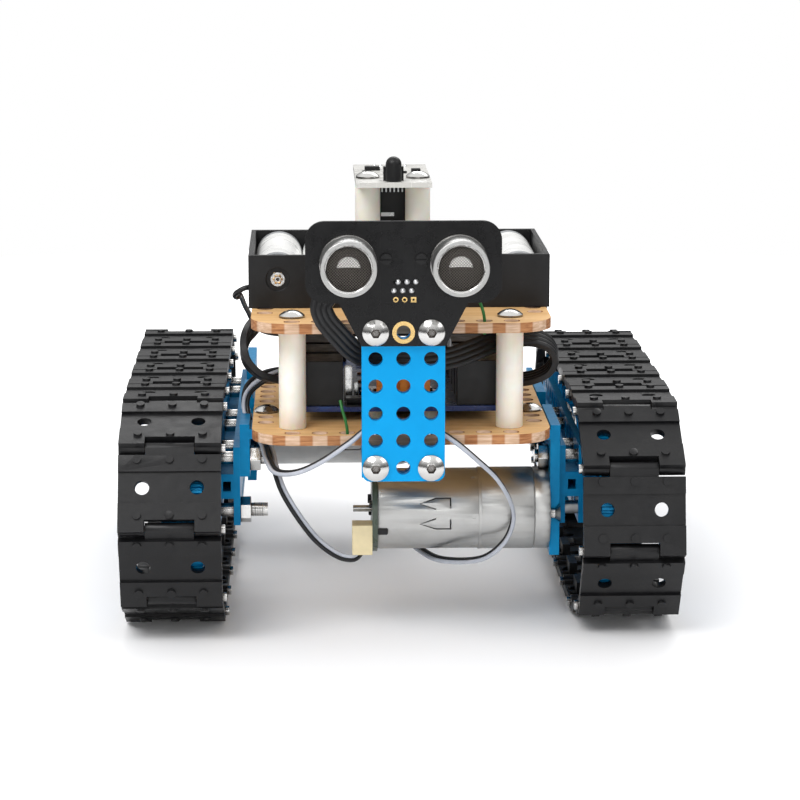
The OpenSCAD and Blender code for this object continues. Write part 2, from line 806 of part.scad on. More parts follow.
module battery_box() {
    color(black) difference() {
        block([-battery_w / 2, box_front, upper_top], [battery_w / 2, box_rear, upper_top + battery_h]);
        block([box_wall - battery_w / 2, box_front + box_wall, upper_top + box_wall],
            [battery_w / 2 - box_wall, box_rear - box_wall, upper_top + battery_h + cut]);
        at_rivets() {
            bar_z(rivet_r + fit, -box_wall - cut, cut);
            bar_z(recess[0], -recess[1], cut);
        }
    }
}

// Cells lie along Y and point forwards and backwards in turn
module battery_cells() {
    color(nylon) for (i = [0 : cell_count - 1])
        translate([cell_x(i), (box_front + box_rear) / 2, cell_z]) rotate([i % 2 == 0 ? 90 : -90, 0, 0]) {
            bar_z(cell_r, -cell_l / 2, cell_l / 2);
            bar_z(nub[0], cell_l / 2 - cut, cell_l / 2 + nub[1]);
        }
}

// A contact plate and its spring button at both ends of every cell, with the two riveted terminals
module battery_contacts() {
    reach = battery_l / 2 - box_wall;
    color(steel) {
        for (i = [0 : cell_count - 1], s = [-1, 1])
            translate([cell_x(i), (box_front + box_rear) / 2, cell_z]) rotate([s * 90, 0, 0]) {
                translate([-contact_size[0] / 2, -contact_size[1] / 2, reach - contact_t]) cube([contact_size[0], contact_size[1], contact_t]);
                bar_z(nub[0], (i % 2 == 0) == (s > 0) ? cell_l / 2 + nub[1] + fit : cell_l / 2 + fit, reach);
            }
        at_rivets() difference() {
            union() {
                bar_z(rivet_r, -box_wall, rivet_head[1] - recess[1]);
                bar_z(rivet_head[0], -recess[1], rivet_head[1] - recess[1]);
            }
            bar_z(rivet_r / 2, -recess[1], cut);
        }
    }
}

// ---------------------------------------------------------------- distance sensor

sensor_half = 28;
sensor_low = upper_top + 7.5;
sensor_top = upper_top + 31;
sensor_r = 5.5;
sensor_foot = [19, 12];
sensor_foot_low = upper_top - 5;
eye_x = 15.8;
eye_z = upper_top + 19;
eye = [8, 12];
eye_cup = [6.7, 2.5];
small_screw_x = 5;
small_screw_z = upper_top + 20.2;
small_screw = [1.6, 1, 1];
pad_z = [for (i = [0 : 2]) upper_top + 8.5 + 2.54 * i];
pad_r = 0.5;

module sensor_outline() {
    difference() {
        union() {
            translate([0, (sensor_low + sensor_top) / 2]) rounded(2 * sensor_half, sensor_top - sensor_low, sensor_r);
            polygon([[-sensor_foot[1], sensor_foot_low], [sensor_foot[1], sensor_foot_low],
                [sensor_foot[0], sensor_low + 1], [-sensor_foot[0], sensor_low + 1]]);
        }
        for (x = [-1 : 1]) translate([x * grid, top_row]) circle(r = bolt_r + fit);
        for (s = [-1, 1]) translate([s * small_screw_x, small_screw_z]) circle(r = small_screw[1] + fit);
        for (x = [-1 : 1], z = pad_z) translate([x * 2.54, z]) circle(r = pad_r);
    }
}

module sensor_board() {
    color(black) translate([0, plate_front, 0]) rotate([90, 0, 0]) linear_extrude(sensor_t) sensor_outline();
}

module sensor_transducers() {
    color(steel) for (s = [-1, 1]) translate([s * eye_x, plate_front - sensor_t, eye_z]) rotate([90, 0, 0]) difference() {
        bar_z(eye[0], 0, eye[1]);
        bar_z(eye_cup[0], eye[1] - eye_cup[1], eye[1] + cut);
    }
}

module sensor_screws() {
    color(black) for (s = [-1, 1]) translate([s * small_screw_x, plate_front - sensor_t, small_screw_z]) rotate([90, 0, 0])
        difference() {
            union() {
                bar_z(small_screw[0], 0, small_screw[2]);
                bar_z(small_screw[1], -sensor_t, 0);
            }
            block([-small_screw[0], -0.25, small_screw[2] / 2], [small_screw[0], 0.25, small_screw[2] + cut]);
        }
}

// ---------------------------------------------------------------- receiver module

ir_board_front = ir_y - 14;
ir_size = [24, 52, 1.6];
ir_z = upper_top + ir_stud_l;
ir_top = ir_z + ir_size[2];
dome_y = ir_board_front + 4;
dome_r = 2.5;
dome_l = 5.4;

module at_ir_studs() for (s = [-1, 1]) translate([s * ir_x, ir_y, 0]) children();

module ir_board() {
    color(nylon) difference() {
        block([-ir_size[0] / 2, ir_board_front, ir_z], [ir_size[0] / 2, ir_board_front + ir_size[1], ir_top]);
        at_ir_studs() bar_z(bolt_r + fit, ir_z - cut, ir_top + cut);
    }
}

module ir_receiver() {
    color(black) translate([0, dome_y, ir_top]) {
        bar_z(dome_r, 0, dome_l);
        translate([0, 0, dome_l]) sphere(r = dome_r);
        block([-3.2, dome_r / 2, 0], [3.2, dome_r + 1.2, 4.4]);
    }
}

module ir_studs() {
    color(nylon) at_ir_studs() difference() {
        bar_z(stud_r, upper_top, ir_z);
        bar_z(bolt_r + fit, upper_top - cut, ir_z + cut);
    }
}

module ir_bolts() {
    color(steel) at_ir_studs() {
        translate([0, 0, ir_top]) bolt(8);
        translate([0, 0, upper_z]) mirror([0, 0, 1]) bolt(stud_bolt_l);
    }
}

// ---------------------------------------------------------------- controller board

board_half = 29.5;
board_front = spacer_front - grid;
board_rear = board_front + 10 * grid;
spacer_h = 3;
pcb_z = lower_top + spacer_h;
pcb_top = pcb_z + board_t;
board_bolt_l = deck_t + spacer_h + board_t + nut_h + 1;

module at_board_holes() for (s = [-1, 1], y = [spacer_front, spacer_rear]) translate([s * spacer_x, y, 0]) children();

processor = [12, 12, 1.4];
processor_at = [-6, -28];
chip = [8, 5, 1.6];
chip_at = [[-12, -46], [4, -48], [-4, -10]];

// The board with its processor and three smaller chips
module main_board() {
    color("navy") difference() {
        block([-board_half, board_front, pcb_z], [board_half, board_rear, pcb_top]);
        at_board_holes() bar_z(bolt_r + fit, pcb_z - cut, pcb_top + cut);
        at_studs() bar_z(stud_r + 0.5, pcb_z - cut, pcb_top + cut);
    }
    color(black) {
        translate([processor_at[0], processor_at[1], pcb_top]) cube(processor);
        for (at = chip_at) translate([at[0], at[1], pcb_top]) cube(chip);
    }
}

spacer_r = 3.5;

// Nylon rings between the lower deck and the controller board
module board_spacers() {
    color(nylon) at_board_holes() difference() {
        bar_z(spacer_r, lower_top, pcb_z);
        bar_z(bolt_r + fit, lower_top - cut, pcb_z + cut);
    }
}

jack = [13, 13, 13.5];
jack_in = board_half + 0.5 - jack[0];
jack_mouth = [9.8, 6.8];
jack_depth = 9;
jack_rows = 4;
jack_step = 16.5;

// Cable jack with its mouth facing +X, standing on the origin with its back face at x = 0
module cable_jack() {
    difference() {
        block([0, -jack[1] / 2, 0], jack - [0, jack[1] / 2, 0]);
        block([jack[0] - jack_depth, -jack_mouth[0] / 2, 3], [jack[0] + cut, jack_mouth[0] / 2, 3 + jack_mouth[1]]);
        block([jack[0] - jack_depth, -2, 2], [jack[0] + cut, 2, 4]);
    }
}

// The jacks: four at each side of the controller, one behind the sensor, one under the receiver board
module cable_jacks() {
    color(black) {
        for (s = [-1, 1], i = [0 : jack_rows - 1])
            translate([0, board_front + 1 + jack[1] / 2 + jack_step * i, pcb_top])
                mirror([s < 0 ? 1 : 0, 0, 0]) translate([jack_in, 0, 0]) cable_jack();
        translate([0, plate_front, sensor_low + 1]) rotate([-90, 0, 0]) rotate([0, 0, 90]) translate([-jack[0], 0, 0]) cable_jack();
        translate([0, ir_y + stud_r + 1, ir_z]) mirror([0, 0, 1]) rotate([0, 0, 90]) cable_jack();
    }
}

usb = [7.6, 4.2, 2.7];
usb_x = -12.5;
dc = [9, 14, 11];
dc_x = 14;
dc_r = 3.2;
switch_size = [10, 5, 5];
switch_x = -25;
switch_y = board_rear - 6;
switch_travel = 4;
knob = [3.9, 1.9, 5.4];
reset_y = -37;
reset_size = [6, 6, 3.5];
button_r = 1.75;
button_travel = 0.3;

// USB socket, supply socket, power switch body and reset button body
module power_sockets() {
    color(steel) difference() {
        translate([usb_x - usb[0] / 2, board_front - 0.6, pcb_top]) cube(usb);
        translate([usb_x - usb[0] / 2 + 0.5, board_front - 0.6 - cut, pcb_top + 0.5]) cube([usb[0] - 1, usb[1] - 1 + cut, usb[2] - 1]);
    }
    color(black) {
        difference() {
            translate([dc_x, board_rear - dc[1] + 1, pcb_top]) cube(dc);
            translate([dc_x + dc[0] / 2, 0, pcb_top + dc[2] / 2]) bar_y(dc_r, board_rear - dc[1] + 4, board_rear + 1 + cut);
        }
        difference() {
            translate([switch_x, switch_y, pcb_top]) cube(switch_size);
            translate([switch_x + 1, switch_y + switch_size[1] / 2 - 1, pcb_top + 2])
                cube([knob[0] + switch_travel + 0.1, 2, switch_size[2]]);
        }
        difference() {
            translate([-reset_size[0] / 2, reset_y - reset_size[1] / 2, pcb_top]) cube(reset_size);
            translate([0, reset_y, 0]) bar_z(button_r + fit, pcb_top + 1.2, pcb_top + reset_size[2] + cut);
        }
    }
}

module switch_slider() {
    color(nylon) translate([switch_x + 1 + fit, switch_y + switch_size[1] / 2 - knob[1] / 2, pcb_top + 2 + fit]) cube(knob);
}

module reset_button() {
    color("firebrick") translate([0, reset_y, 0]) bar_z(button_r, pcb_top + 1.2 + button_travel + fit, pcb_top + reset_size[2] + 1.4);
}

// ---------------------------------------------------------------- the nodes

// Half the difference between the sensor's reach in front and the tracks' reach behind
outline_shift = 7.5;

module placed() translate([0, outline_shift, 0]) children();

placed() left_side_beam();
placed() right_side_beam();
placed() lower_deck();
placed() upper_deck();
placed() deck_studs();
placed() deck_bolts();
placed() front_plate();
placed() front_plate_bracket();
placed() front_plate_bolts();
placed() corner_brackets();
placed() bracket_bolts();
placed() nuts();
placed() left_motor_bracket();
placed() right_motor_bracket();
placed() motor_screws();
placed() left_motor_can();
placed() right_motor_can();
placed() motor_magnets();
placed() left_gearbox_case();
placed() right_gearbox_case();
placed() left_motor_board();
placed() right_motor_board();
placed() motor_plugs();
placed() left_motor_rotor();
placed() right_motor_rotor();
placed() left_first_gear();
placed() right_first_gear();
placed() left_second_gear();
placed() right_second_gear();
placed() left_third_gear();
placed() right_third_gear();
placed() left_output_shaft();
placed() right_output_shaft();
placed() left_drive_pulley();
placed() right_drive_pulley();
placed() left_idler_pulley();
placed() right_idler_pulley();
placed() left_idler_bushes();
placed() right_idler_bushes();
placed() idler_axles();
placed() idler_spacers();
placed() left_track_links();
placed() right_track_links();
placed() track_pins();
placed() battery_box();
placed() battery_cells();
placed() battery_contacts();
placed() sensor_board();
placed() sensor_transducers();
placed() sensor_screws();
placed() ir_board();
placed() ir_receiver();
placed() ir_studs();
placed() ir_bolts();
placed() main_board();
placed() board_spacers();
placed() cable_jacks();
placed() power_sockets();
placed() switch_slider();
placed() reset_button();
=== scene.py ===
"""Looks for the small tracked robot: materials for the CAD nodes, wires, grilles, pads and small parts."""
import json
import math
import bmesh
import bpy
from mathutils import Matrix, Vector


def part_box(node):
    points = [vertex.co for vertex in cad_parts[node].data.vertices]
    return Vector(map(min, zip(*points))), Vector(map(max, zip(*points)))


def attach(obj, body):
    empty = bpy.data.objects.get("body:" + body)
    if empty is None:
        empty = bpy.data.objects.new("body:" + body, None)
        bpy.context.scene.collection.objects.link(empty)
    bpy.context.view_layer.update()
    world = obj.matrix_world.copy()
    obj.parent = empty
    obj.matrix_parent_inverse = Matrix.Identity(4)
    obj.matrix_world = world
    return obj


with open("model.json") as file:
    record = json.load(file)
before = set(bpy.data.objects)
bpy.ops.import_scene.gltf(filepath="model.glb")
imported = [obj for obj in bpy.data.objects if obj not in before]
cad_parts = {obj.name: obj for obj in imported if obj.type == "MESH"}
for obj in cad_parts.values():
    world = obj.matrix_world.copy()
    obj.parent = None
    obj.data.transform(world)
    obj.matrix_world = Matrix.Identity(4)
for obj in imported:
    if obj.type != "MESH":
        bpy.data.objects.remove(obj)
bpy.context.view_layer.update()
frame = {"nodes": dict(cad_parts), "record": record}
NODES = frame["nodes"]
MM = 0.001
CHASSIS = "chassis"


def middle():
    """The point on the ground midway between the pulleys, which the new pieces are placed from."""
    ends = [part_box("left_drive_pulley"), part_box("right_drive_pulley")]
    return Vector((0, sum(p.y for box in ends for p in box) / 4, 0))


MIDDLE = middle()

# ------------------------------------------------------------------ materials


class Shader:
    """A Principled material whose colour, roughness and relief come from procedural nodes."""

    def __init__(self, name, color, rough=0.5, metal=0.0, **extra):
        self.mat = bpy.data.materials.new(name)
        self.mat.use_nodes = True
        self.tree = self.mat.node_tree
        self.bsdf = self.tree.nodes["Principled BSDF"]
        self.set("Base Color", (*color, 1))
        self.set("Roughness", rough)
        self.set("Metallic", metal)
        for key, value in extra.items():
            self.set(key.replace("_", " "), value)
        self.coords = self.tree.nodes.new("ShaderNodeTexCoord").outputs["Object"]
        self.height = None

    def set(self, key, value):
        socket = self.bsdf.inputs[key]
        if isinstance(value, bpy.types.NodeSocket):
            self.tree.links.new(value, socket)
        else:
            socket.default_value = value

    def node(self, kind, **props):
        made = self.tree.nodes.new("ShaderNode" + kind)
        for key, value in props.items():
            setattr(made, key, value)
        return made

    def link(self, source, target):
        """Feeds an input from another node's output, or gives it a plain value."""
        if isinstance(source, bpy.types.NodeSocket):
            self.tree.links.new(source, target)
        else:
            target.default_value = source

    def scaled(self, stretch):
        mapping = self.node("Mapping")
        self.link(self.coords, mapping.inputs["Vector"])
        mapping.inputs["Scale"].default_value = stretch
        return mapping.outputs["Vector"]

    def noise(self, size_mm, detail=3, stretch=(1, 1, 1), rough=0.55):
        """Noise whose grains are about size_mm across."""
        made = self.node("TexNoise")
        self.link(self.scaled(stretch), made.inputs["Vector"])
        made.inputs["Scale"].default_value = 1 / (size_mm * MM)
        made.inputs["Detail"].default_value = detail
        made.inputs["Roughness"].default_value = rough
        return made.outputs["Fac"]

    def crevice(self, reach_mm):
        """1 in the open, falling towards 0 in recesses and corners; the mask for painted shade in recesses.
        """
        made = self.node("AmbientOcclusion", samples=6, only_local=False)
        made.inputs["Distance"].default_value = reach_mm * MM
        return made.outputs["AO"]

    def math(self, op, a, b=0.0, c=0.0):
        made = self.node("Math", operation=op)
        for value, socket in zip((a, b, c), made.inputs):
            self.link(value, socket)
        return made.outputs[0]

    def spread(self, fac, low, high, lo_out, hi_out):
        """Maps fac from low to high onto lo_out to hi_out, and holds it at the ends."""
        made = self.node("MapRange")
        for value, socket in zip((fac, low, high, lo_out, hi_out), made.inputs):
            self.link(value, socket)
        return made.outputs[0]

    def mix(self, fac, a, b):
        """Colour a where fac is 0 and b where it is 1. A colour Mix node has them as inputs 6 and 7."""
        made = self.node("Mix", data_type="RGBA")
        self.link(fac, made.inputs["Factor"])
        self.link(a if isinstance(a, bpy.types.NodeSocket) else (*a, 1), made.inputs[6])
        self.link(b if isinstance(b, bpy.types.NodeSocket) else (*b, 1), made.inputs[7])
        return made.outputs[2]

    def axes(self, source=None):
        made = self.node("SeparateXYZ")
        self.link(source or self.coords, made.inputs[0])
        return made.outputs

    def normal_axes(self):
        return self.axes(self.node("NewGeometry").outputs["True Normal"])

    def rough_noise(self, size_mm, low, high, stretch=(1, 1, 1)):
        self.set("Roughness", self.spread(self.noise(size_mm, stretch=stretch), 0.3, 0.7, low, high))

    def bump(self, height, depth_mm, strength=1.0):
        """Adds relief on top of any that the material already has."""
        made = self.node("Bump")
        made.inputs["Distance"].default_value = depth_mm * MM
        made.inputs["Strength"].default_value = strength
        self.link(height, made.inputs["Height"])
        if self.height:
            self.link(self.height, made.inputs["Normal"])
        self.height = made.outputs["Normal"]
        self.set("Normal", self.height)


def anodised(name, color, dark):
    """Bead-blasted anodised aluminium: a tinted metal sheen with a very fine grain."""
    s = Shader(name, color, metal=0.35, Specular_IOR_Level=0.2)
    s.set("Base Color", s.mix(s.spread(s.noise(9), 0.3, 0.7, 0, 1), dark, color))
    s.rough_noise(1.5, 0.30, 0.44)
    s.bump(s.noise(0.16, 2), 0.012)
    s.bump(s.noise(5), 0.02)
    return s.mat


def plywood(name):
    """Bamboo ply: long grain along X, laser-burnt edges with lighter patches opposite each hole."""
    pitch, patch = 8.0, 2.1
    s = Shader(name, (0.68, 0.45, 0.22), Specular_IOR_Level=0.2)
    grain = s.noise(1.1, 6, (0.05, 1, 1), 0.65)
    bands = s.noise(6, 3, (0.03, 1, 0.3))
    face = s.mix(s.spread(grain, 0.32, 0.68, 0, 1), (0.50, 0.265, 0.095), (0.75, 0.46, 0.195))
    face = s.mix(s.spread(bands, 0.35, 0.65, 0, 0.55), face, (0.79, 0.53, 0.27))
    x = s.axes()[0]
    phase = s.math("PINGPONG", s.math("DIVIDE", x, MM), pitch / 2)
    light = s.spread(phase, patch - 0.25, patch + 0.25, 1, 0)
    layers = s.noise(0.6, 4, (0.08, 0.4, 1))
    burnt = s.mix(s.spread(layers, 0.35, 0.65, 0, 1), (0.27, 0.105, 0.04), (0.50, 0.235, 0.10))
    pale = s.mix(s.spread(layers, 0.35, 0.65, 0, 1), (0.50, 0.31, 0.19), (0.70, 0.50, 0.36))
    edge = s.mix(light, burnt, pale)
    front = s.math("GREATER_THAN", s.math("ABSOLUTE", s.normal_axes()[1]), 0.5)
    edge = s.mix(front, burnt, edge)
    level = s.math("ABSOLUTE", s.normal_axes()[2])
    s.set("Base Color", s.mix(s.spread(level, 0.3, 0.7, 0, 1), edge, face))
    s.rough_noise(2, 0.5, 0.68)
    s.bump(grain, 0.05, 0.6)
    return s.mat


def plastic(name, color, low, high, grain_mm=0.25, depth_mm=0.015, tint=1.25, sheen=0.5):
    """Moulded plastic with a fine grain and faint flow marks."""
    s = Shader(name, color, Specular_IOR_Level=sheen)
    lighter = tuple(min(1, c * tint + 0.002) for c in color)
    s.set("Base Color", s.mix(s.spread(s.noise(7), 0.35, 0.7, 0, 1), color, lighter))
    s.rough_noise(3, low, high)
    s.bump(s.noise(grain_mm, 2), depth_mm)
    return s.mat


def nylon_plastic(name):
    """Cream nylon that lets a little light in, with faint turning marks."""
    dull, clear = (0.89, 0.84, 0.73), (0.93, 0.90, 0.83)
    s = Shader(name, clear, Subsurface_Weight=0.35, Subsurface_Scale=1.5 * MM)
    s.set("Base Color", s.mix(s.spread(s.noise(6), 0.3, 0.7, 0, 1), dull, clear))
    s.rough_noise(2, 0.38, 0.52)
    s.bump(s.noise(0.8, 2, (1, 1, 0.15)), 0.02)
    return s.mat


def track_plastic(name):
    """Moulded track links: dark, slightly oily sheen, dusty in patches, with scuffed flats."""
    bare, dusty = (0.006, 0.006, 0.0068), (0.03, 0.029, 0.028)
    s = Shader(name, bare, Specular_IOR_Level=0.3)
    patches = s.spread(s.noise(9, 5), 0.5, 0.75, 0, 0.5)
    specks = s.spread(s.noise(0.5, 3), 0.35, 0.7, 0, 1)
    dust = s.math("MULTIPLY", patches, specks)
    oily = s.spread(s.noise(4, 4), 0.3, 0.7, 0.30, 0.46)
    s.set("Base Color", s.mix(dust, bare, dusty))
    s.set("Roughness", s.math("ADD", oily, s.math("MULTIPLY", dust, 0.5)))
    s.bump(s.noise(0.22, 3), 0.02)
    s.bump(s.noise(3.5, 3), 0.10, 0.6)
    return s.mat


def satin_steel(name, color=(0.49, 0.49, 0.48), low=0.27, high=0.42, stretch=(0.06, 1, 1)):
    """Drawn steel: faint streaks along the drawing direction, with a slightly uneven sheen."""
    s = Shader(name, color, metal=1.0)
    streak = s.noise(0.5, 4, stretch)
    stain = s.noise(11, 4)
    darker = tuple(0.72 * c for c in color)
    s.set("Base Color", s.mix(s.spread(stain, 0.45, 0.75, 0, 0.5), color, darker))
    drawn = s.spread(streak, 0.3, 0.7, low, high)
    s.set("Roughness", s.math("ADD", drawn, s.spread(stain, 0.4, 0.7, 0, 0.06)))
    s.bump(streak, 0.01)
    return s.mat


def bright_steel(name):
    """Polished steel with painted shade that makes it go dark in sockets and slots."""
    polished, painted_shade = (0.64, 0.635, 0.62), (0.045, 0.036, 0.03)
    s = Shader(name, polished, metal=1.0)
    # Painted shade: an ambient-occlusion mask turns the colour nearly black in sockets, slots and threads.
    s.set("Base Color", s.mix(s.spread(s.crevice(1.8), 0.5, 0.92, 0, 1), painted_shade, polished))
    s.rough_noise(0.9, 0.12, 0.26)
    s.bump(s.noise(0.5, 3), 0.012)
    return s.mat


def board(name, color, trace, gloss=0.22, sheen=0.5):
    """Printed board: glossy solder mask with slightly raised, slightly lighter copper tracks under it."""
    s = Shader(name, color, Specular_IOR_Level=sheen)
    brick = s.node("TexBrick", offset=0.37, squash=0.6, squash_frequency=3)
    s.link(s.scaled((1, 1, 1)), brick.inputs["Vector"])
    brick.inputs["Scale"].default_value = 1 / (11 * MM)
    brick.inputs["Mortar Size"].default_value = 0.012
    brick.inputs["Mortar Smooth"].default_value = 0.3
    track = s.math("MULTIPLY", brick.outputs["Fac"], s.spread(s.noise(14, 1), 0.46, 0.52, 0, 1))
    s.set("Base Color", s.mix(track, color, trace))
    s.rough_noise(5, gloss, gloss + 0.14)
    s.bump(track, 0.05, 0.8)
    s.bump(s.noise(0.3, 2), 0.006)
    return s.mat


def cell_sleeve(name):
    """Cell with a blank white sleeve and a plain grey band at each end."""
    white, grey, band = (0.80, 0.80, 0.785), (0.30, 0.31, 0.32), 5 * MM
    s = Shader(name, white)
    lo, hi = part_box("battery_cells")
    y = s.math("ABSOLUTE", s.math("SUBTRACT", s.axes()[1], (lo.y + hi.y) / 2))
    end = s.math("GREATER_THAN", y, (hi.y - lo.y) / 2 - band)
    s.set("Base Color", s.mix(end, white, grey))
    s.rough_noise(6, 0.22, 0.36)
    s.bump(s.noise(4, 2), 0.04)
    return s.mat


def wire_cover(name, color):
    """Soft wire insulation with a dull shine."""
    s = Shader(name, color, Specular_IOR_Level=0.35)
    lighter = tuple(1.2 * c + 0.002 for c in color)
    s.set("Base Color", s.mix(s.spread(s.noise(5), 0.3, 0.7, 0, 1), color, lighter))
    s.rough_noise(3, 0.32, 0.46)
    s.bump(s.noise(0.4, 2), 0.012)
    return s.mat


def resonator(name):
    """Concave cone behind the grille, with painted light: a painted highlight and a painted glow on its upper
    half, painted shade on its lower half.
    """
    painted_highlight, dark = (0.85, 0.84, 0.82), (0.03, 0.028, 0.027)
    s = Shader(name, painted_highlight, 0.3, 0.8)
    lo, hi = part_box("sensor_transducers")
    above = s.math("GREATER_THAN", s.axes()[2], (lo.z + hi.z) / 2 + 0.3 * MM)
    # Painted highlight on the upper half and painted shade on the lower half, split at the middle height.
    s.set("Base Color", s.mix(above, dark, painted_highlight))
    # Painted glow on the upper half: it emits light though it is no lamp.
    s.set("Emission Color", (0.9, 0.9, 0.88, 1))
    s.set("Emission Strength", s.math("MULTIPLY", above, 0.35))
    return s.mat


MATERIALS = {
    "blue_aluminium": anodised("blue_aluminium", (0.0, 0.22, 0.46), (0.0, 0.175, 0.385)),
    "sky_aluminium": anodised("sky_aluminium", (0.0, 0.33, 0.72), (0.0, 0.30, 0.67)),
    "plywood": plywood("plywood"),
    "nylon": nylon_plastic("nylon"),
    "bright_steel": bright_steel("bright_steel"),
    "satin_steel": satin_steel("satin_steel"),
    "black_plastic": plastic("black_plastic", (0.006, 0.006, 0.0065), 0.3, 0.44, sheen=0.3),
    "track_plastic": track_plastic("track_plastic"),
    "black_board": board("black_board", (0.0025, 0.0025, 0.003), (0.006, 0.006, 0.0065), sheen=0.3),
    "green_board": board("green_board", (0.05, 0.07, 0.05), (0.10, 0.12, 0.08)),
    "white_board": board("white_board", (0.62, 0.61, 0.58), (0.74, 0.73, 0.70)),
    "blue_board": board("blue_board", (0.006, 0.03, 0.16), (0.012, 0.06, 0.26)),
    "bronze": satin_steel("bronze", (0.55, 0.38, 0.20), 0.26, 0.4),
    "cell_sleeve": cell_sleeve("cell_sleeve"),
    "magnet": plastic("magnet", (0.05, 0.05, 0.052), 0.55, 0.7, grain_mm=0.4, depth_mm=0.03),
    "red_plastic": plastic("red_plastic", (0.50, 0.02, 0.015), 0.25, 0.35),
    "gold": satin_steel("gold", (0.83, 0.58, 0.24), 0.2, 0.32),
    "solder": satin_steel("solder", (0.70, 0.71, 0.72), 0.22, 0.4),
    "grille_wire": satin_steel("grille_wire", (0.15, 0.135, 0.12), 0.35, 0.5),
    "resonator": resonator("resonator"),
    "wire_black": wire_cover("wire_black", (0.010, 0.010, 0.011)),
    "wire_grey": wire_cover("wire_grey", (0.40, 0.42, 0.47)),
    "wire_green": wire_cover("wire_green", (0.02, 0.14, 0.03)),
    "plug_plastic": plastic("plug_plastic", (0.66, 0.56, 0.34), 0.36, 0.5),
    "terminal_orange": plastic("terminal_orange", (0.75, 0.26, 0.03), 0.3, 0.45),
    "copper_brown": plastic("copper_brown", (0.30, 0.10, 0.03), 0.4, 0.55),
}

# ------------------------------------------------------------------ dress the CAD nodes

# Edge radius in mm and the CAD nodes that get it
EDGE_ROUNDS = (
    (0.08, ("sensor_board", "ir_board", "main_board", "lower_deck", "upper_deck")),
    (0.12, ("left_drive_pulley", "right_drive_pulley", "left_idler_pulley", "right_idler_pulley")),
    (0.15, ("power_sockets",)),
    (0.2, ("left_side_beam", "right_side_beam", "cable_jacks", "front_plate_bracket", "nuts")),
    (0.25, ("front_plate", "corner_brackets", "left_motor_bracket", "right_motor_bracket", "deck_studs",
            "ir_studs", "left_motor_can", "right_motor_can", "sensor_transducers")),
    (0.3, ("left_track_links", "right_track_links", "battery_box", "left_gearbox_case",
           "right_gearbox_case")),
)
EDGE_ROUND = {name: radius for radius, names in EDGE_ROUNDS for name in names}
SMOOTH_ANGLE = math.radians(32)
# A node that takes another finish than its slot in the record
SPECIAL_SLOT = {"sensor_transducers": "satin_steel"}


def smooth(mesh):
    """Smooth shading with the edges sharper than SMOOTH_ANGLE kept crisp."""
    bm = bmesh.new()
    bm.from_mesh(mesh)
    for face in bm.faces:
        face.smooth = True
    for edge in bm.edges:
        edge.smooth = len(edge.link_faces) == 2 and edge.calc_face_angle(0) < SMOOTH_ANGLE
    bm.to_mesh(mesh)
    bm.free()


def dress_node(name, slot):
    """Gives a CAD node its material and, if it is listed, small round edges."""
    obj = NODES[name]
    material = MATERIALS[SPECIAL_SLOT.get(name, slot)]
    obj.data.materials.clear()
    obj.data.materials.append(material)
    if name in EDGE_ROUND:
        weld = obj.modifiers.new("weld", "WELD")
        weld.merge_threshold = 0.002 * MM
        flat = obj.modifiers.new("flat_faces", "DECIMATE")
        flat.decimate_type = "DISSOLVE"
        flat.angle_limit = math.radians(0.5)
        bevel = obj.modifiers.new("edges", "BEVEL")
        bevel.width = EDGE_ROUND[name] * MM
        bevel.segments = 2
        bevel.limit_method = "ANGLE"
        bevel.angle_limit = math.radians(40)
        bevel.use_clamp_overlap = True
        bevel.harden_normals = True


for subpart in frame["record"]["subparts"]:
    dress_node(subpart["node"], subpart["material_slot"])

# ------------------------------------------------------------------ helpers for new pieces


def vec(x, y, z):
    """A point or a step given in millimetres."""
    return Vector((x, y, z)) * MM


def add_piece(name, bm, slot, body=CHASSIS):
    """Makes a piece from geometry that is placed from MIDDLE."""
    mesh = bpy.data.meshes.new(name)
    bmesh.ops.recalc_face_normals(bm, faces=bm.faces)
    bmesh.ops.translate(bm, verts=bm.verts, vec=MIDDLE)
    bm.to_mesh(mesh)
    bm.free()
    smooth(mesh)
    obj = bpy.data.objects.new(name, mesh)
    bpy.context.scene.collection.objects.link(obj)
    mesh.materials.append(MATERIALS[slot])
    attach(obj, body)


def catmull(points, steps):
    """A smooth path through the points, with steps samples to each span."""
    ends = [2 * points[0] - points[1]] + list(points) + [2 * points[-1] - points[-2]]
    path = []
    for p0, p1, p2, p3 in zip(ends, ends[1:], ends[2:], ends[3:]):
        for k in range(steps):
            t = k / steps
            path.append(0.5 * (2 * p1 + (p2 - p0) * t + (2 * p0 - 5 * p1 + 4 * p2 - p3) * t * t
                               + (3 * p1 - 3 * p2 + p3 - p0) * t ** 3))
    return path + [points[-1]]


def sweep(bm, path, profile, up, twist=0.0):
    """Sweeps a closed flat profile (mm) along a path. The profile's second axis starts out along up.

    The twist, in degrees, is spread over the middle of the path.
    """
    rings = []
    side = None
    for i, p in enumerate(path):
        ahead = (path[min(i + 1, len(path) - 1)] - path[max(i - 1, 0)]).normalized()
        if side is None:
            side = ahead.cross(up).normalized()
        side = (side - ahead * side.dot(ahead)).normalized()
        share = min(1, max(0, i / (len(path) - 1) * 2 - 0.5))
        turned = Matrix.Rotation(math.radians(twist) * share, 3, ahead) @ side
        top = turned.cross(ahead)
        rings.append([bm.verts.new(p + (turned * u + top * v) * MM) for u, v in profile])
    count = len(profile)
    for a, b in zip(rings, rings[1:]):
        for k in range(count):
            bm.faces.new((a[k], a[(k + 1) % count], b[(k + 1) % count], b[k]))
    bm.faces.new(rings[0][::-1])
    bm.faces.new(rings[-1])


def round_profile(r, sides=12, du=0.0, dv=0.0):
    """Section of a round wire, moved by du and dv from the path."""
    return [(du + r * math.cos(2 * math.pi * k / sides), dv + r * math.sin(2 * math.pi * k / sides))
            for k in range(sides)]


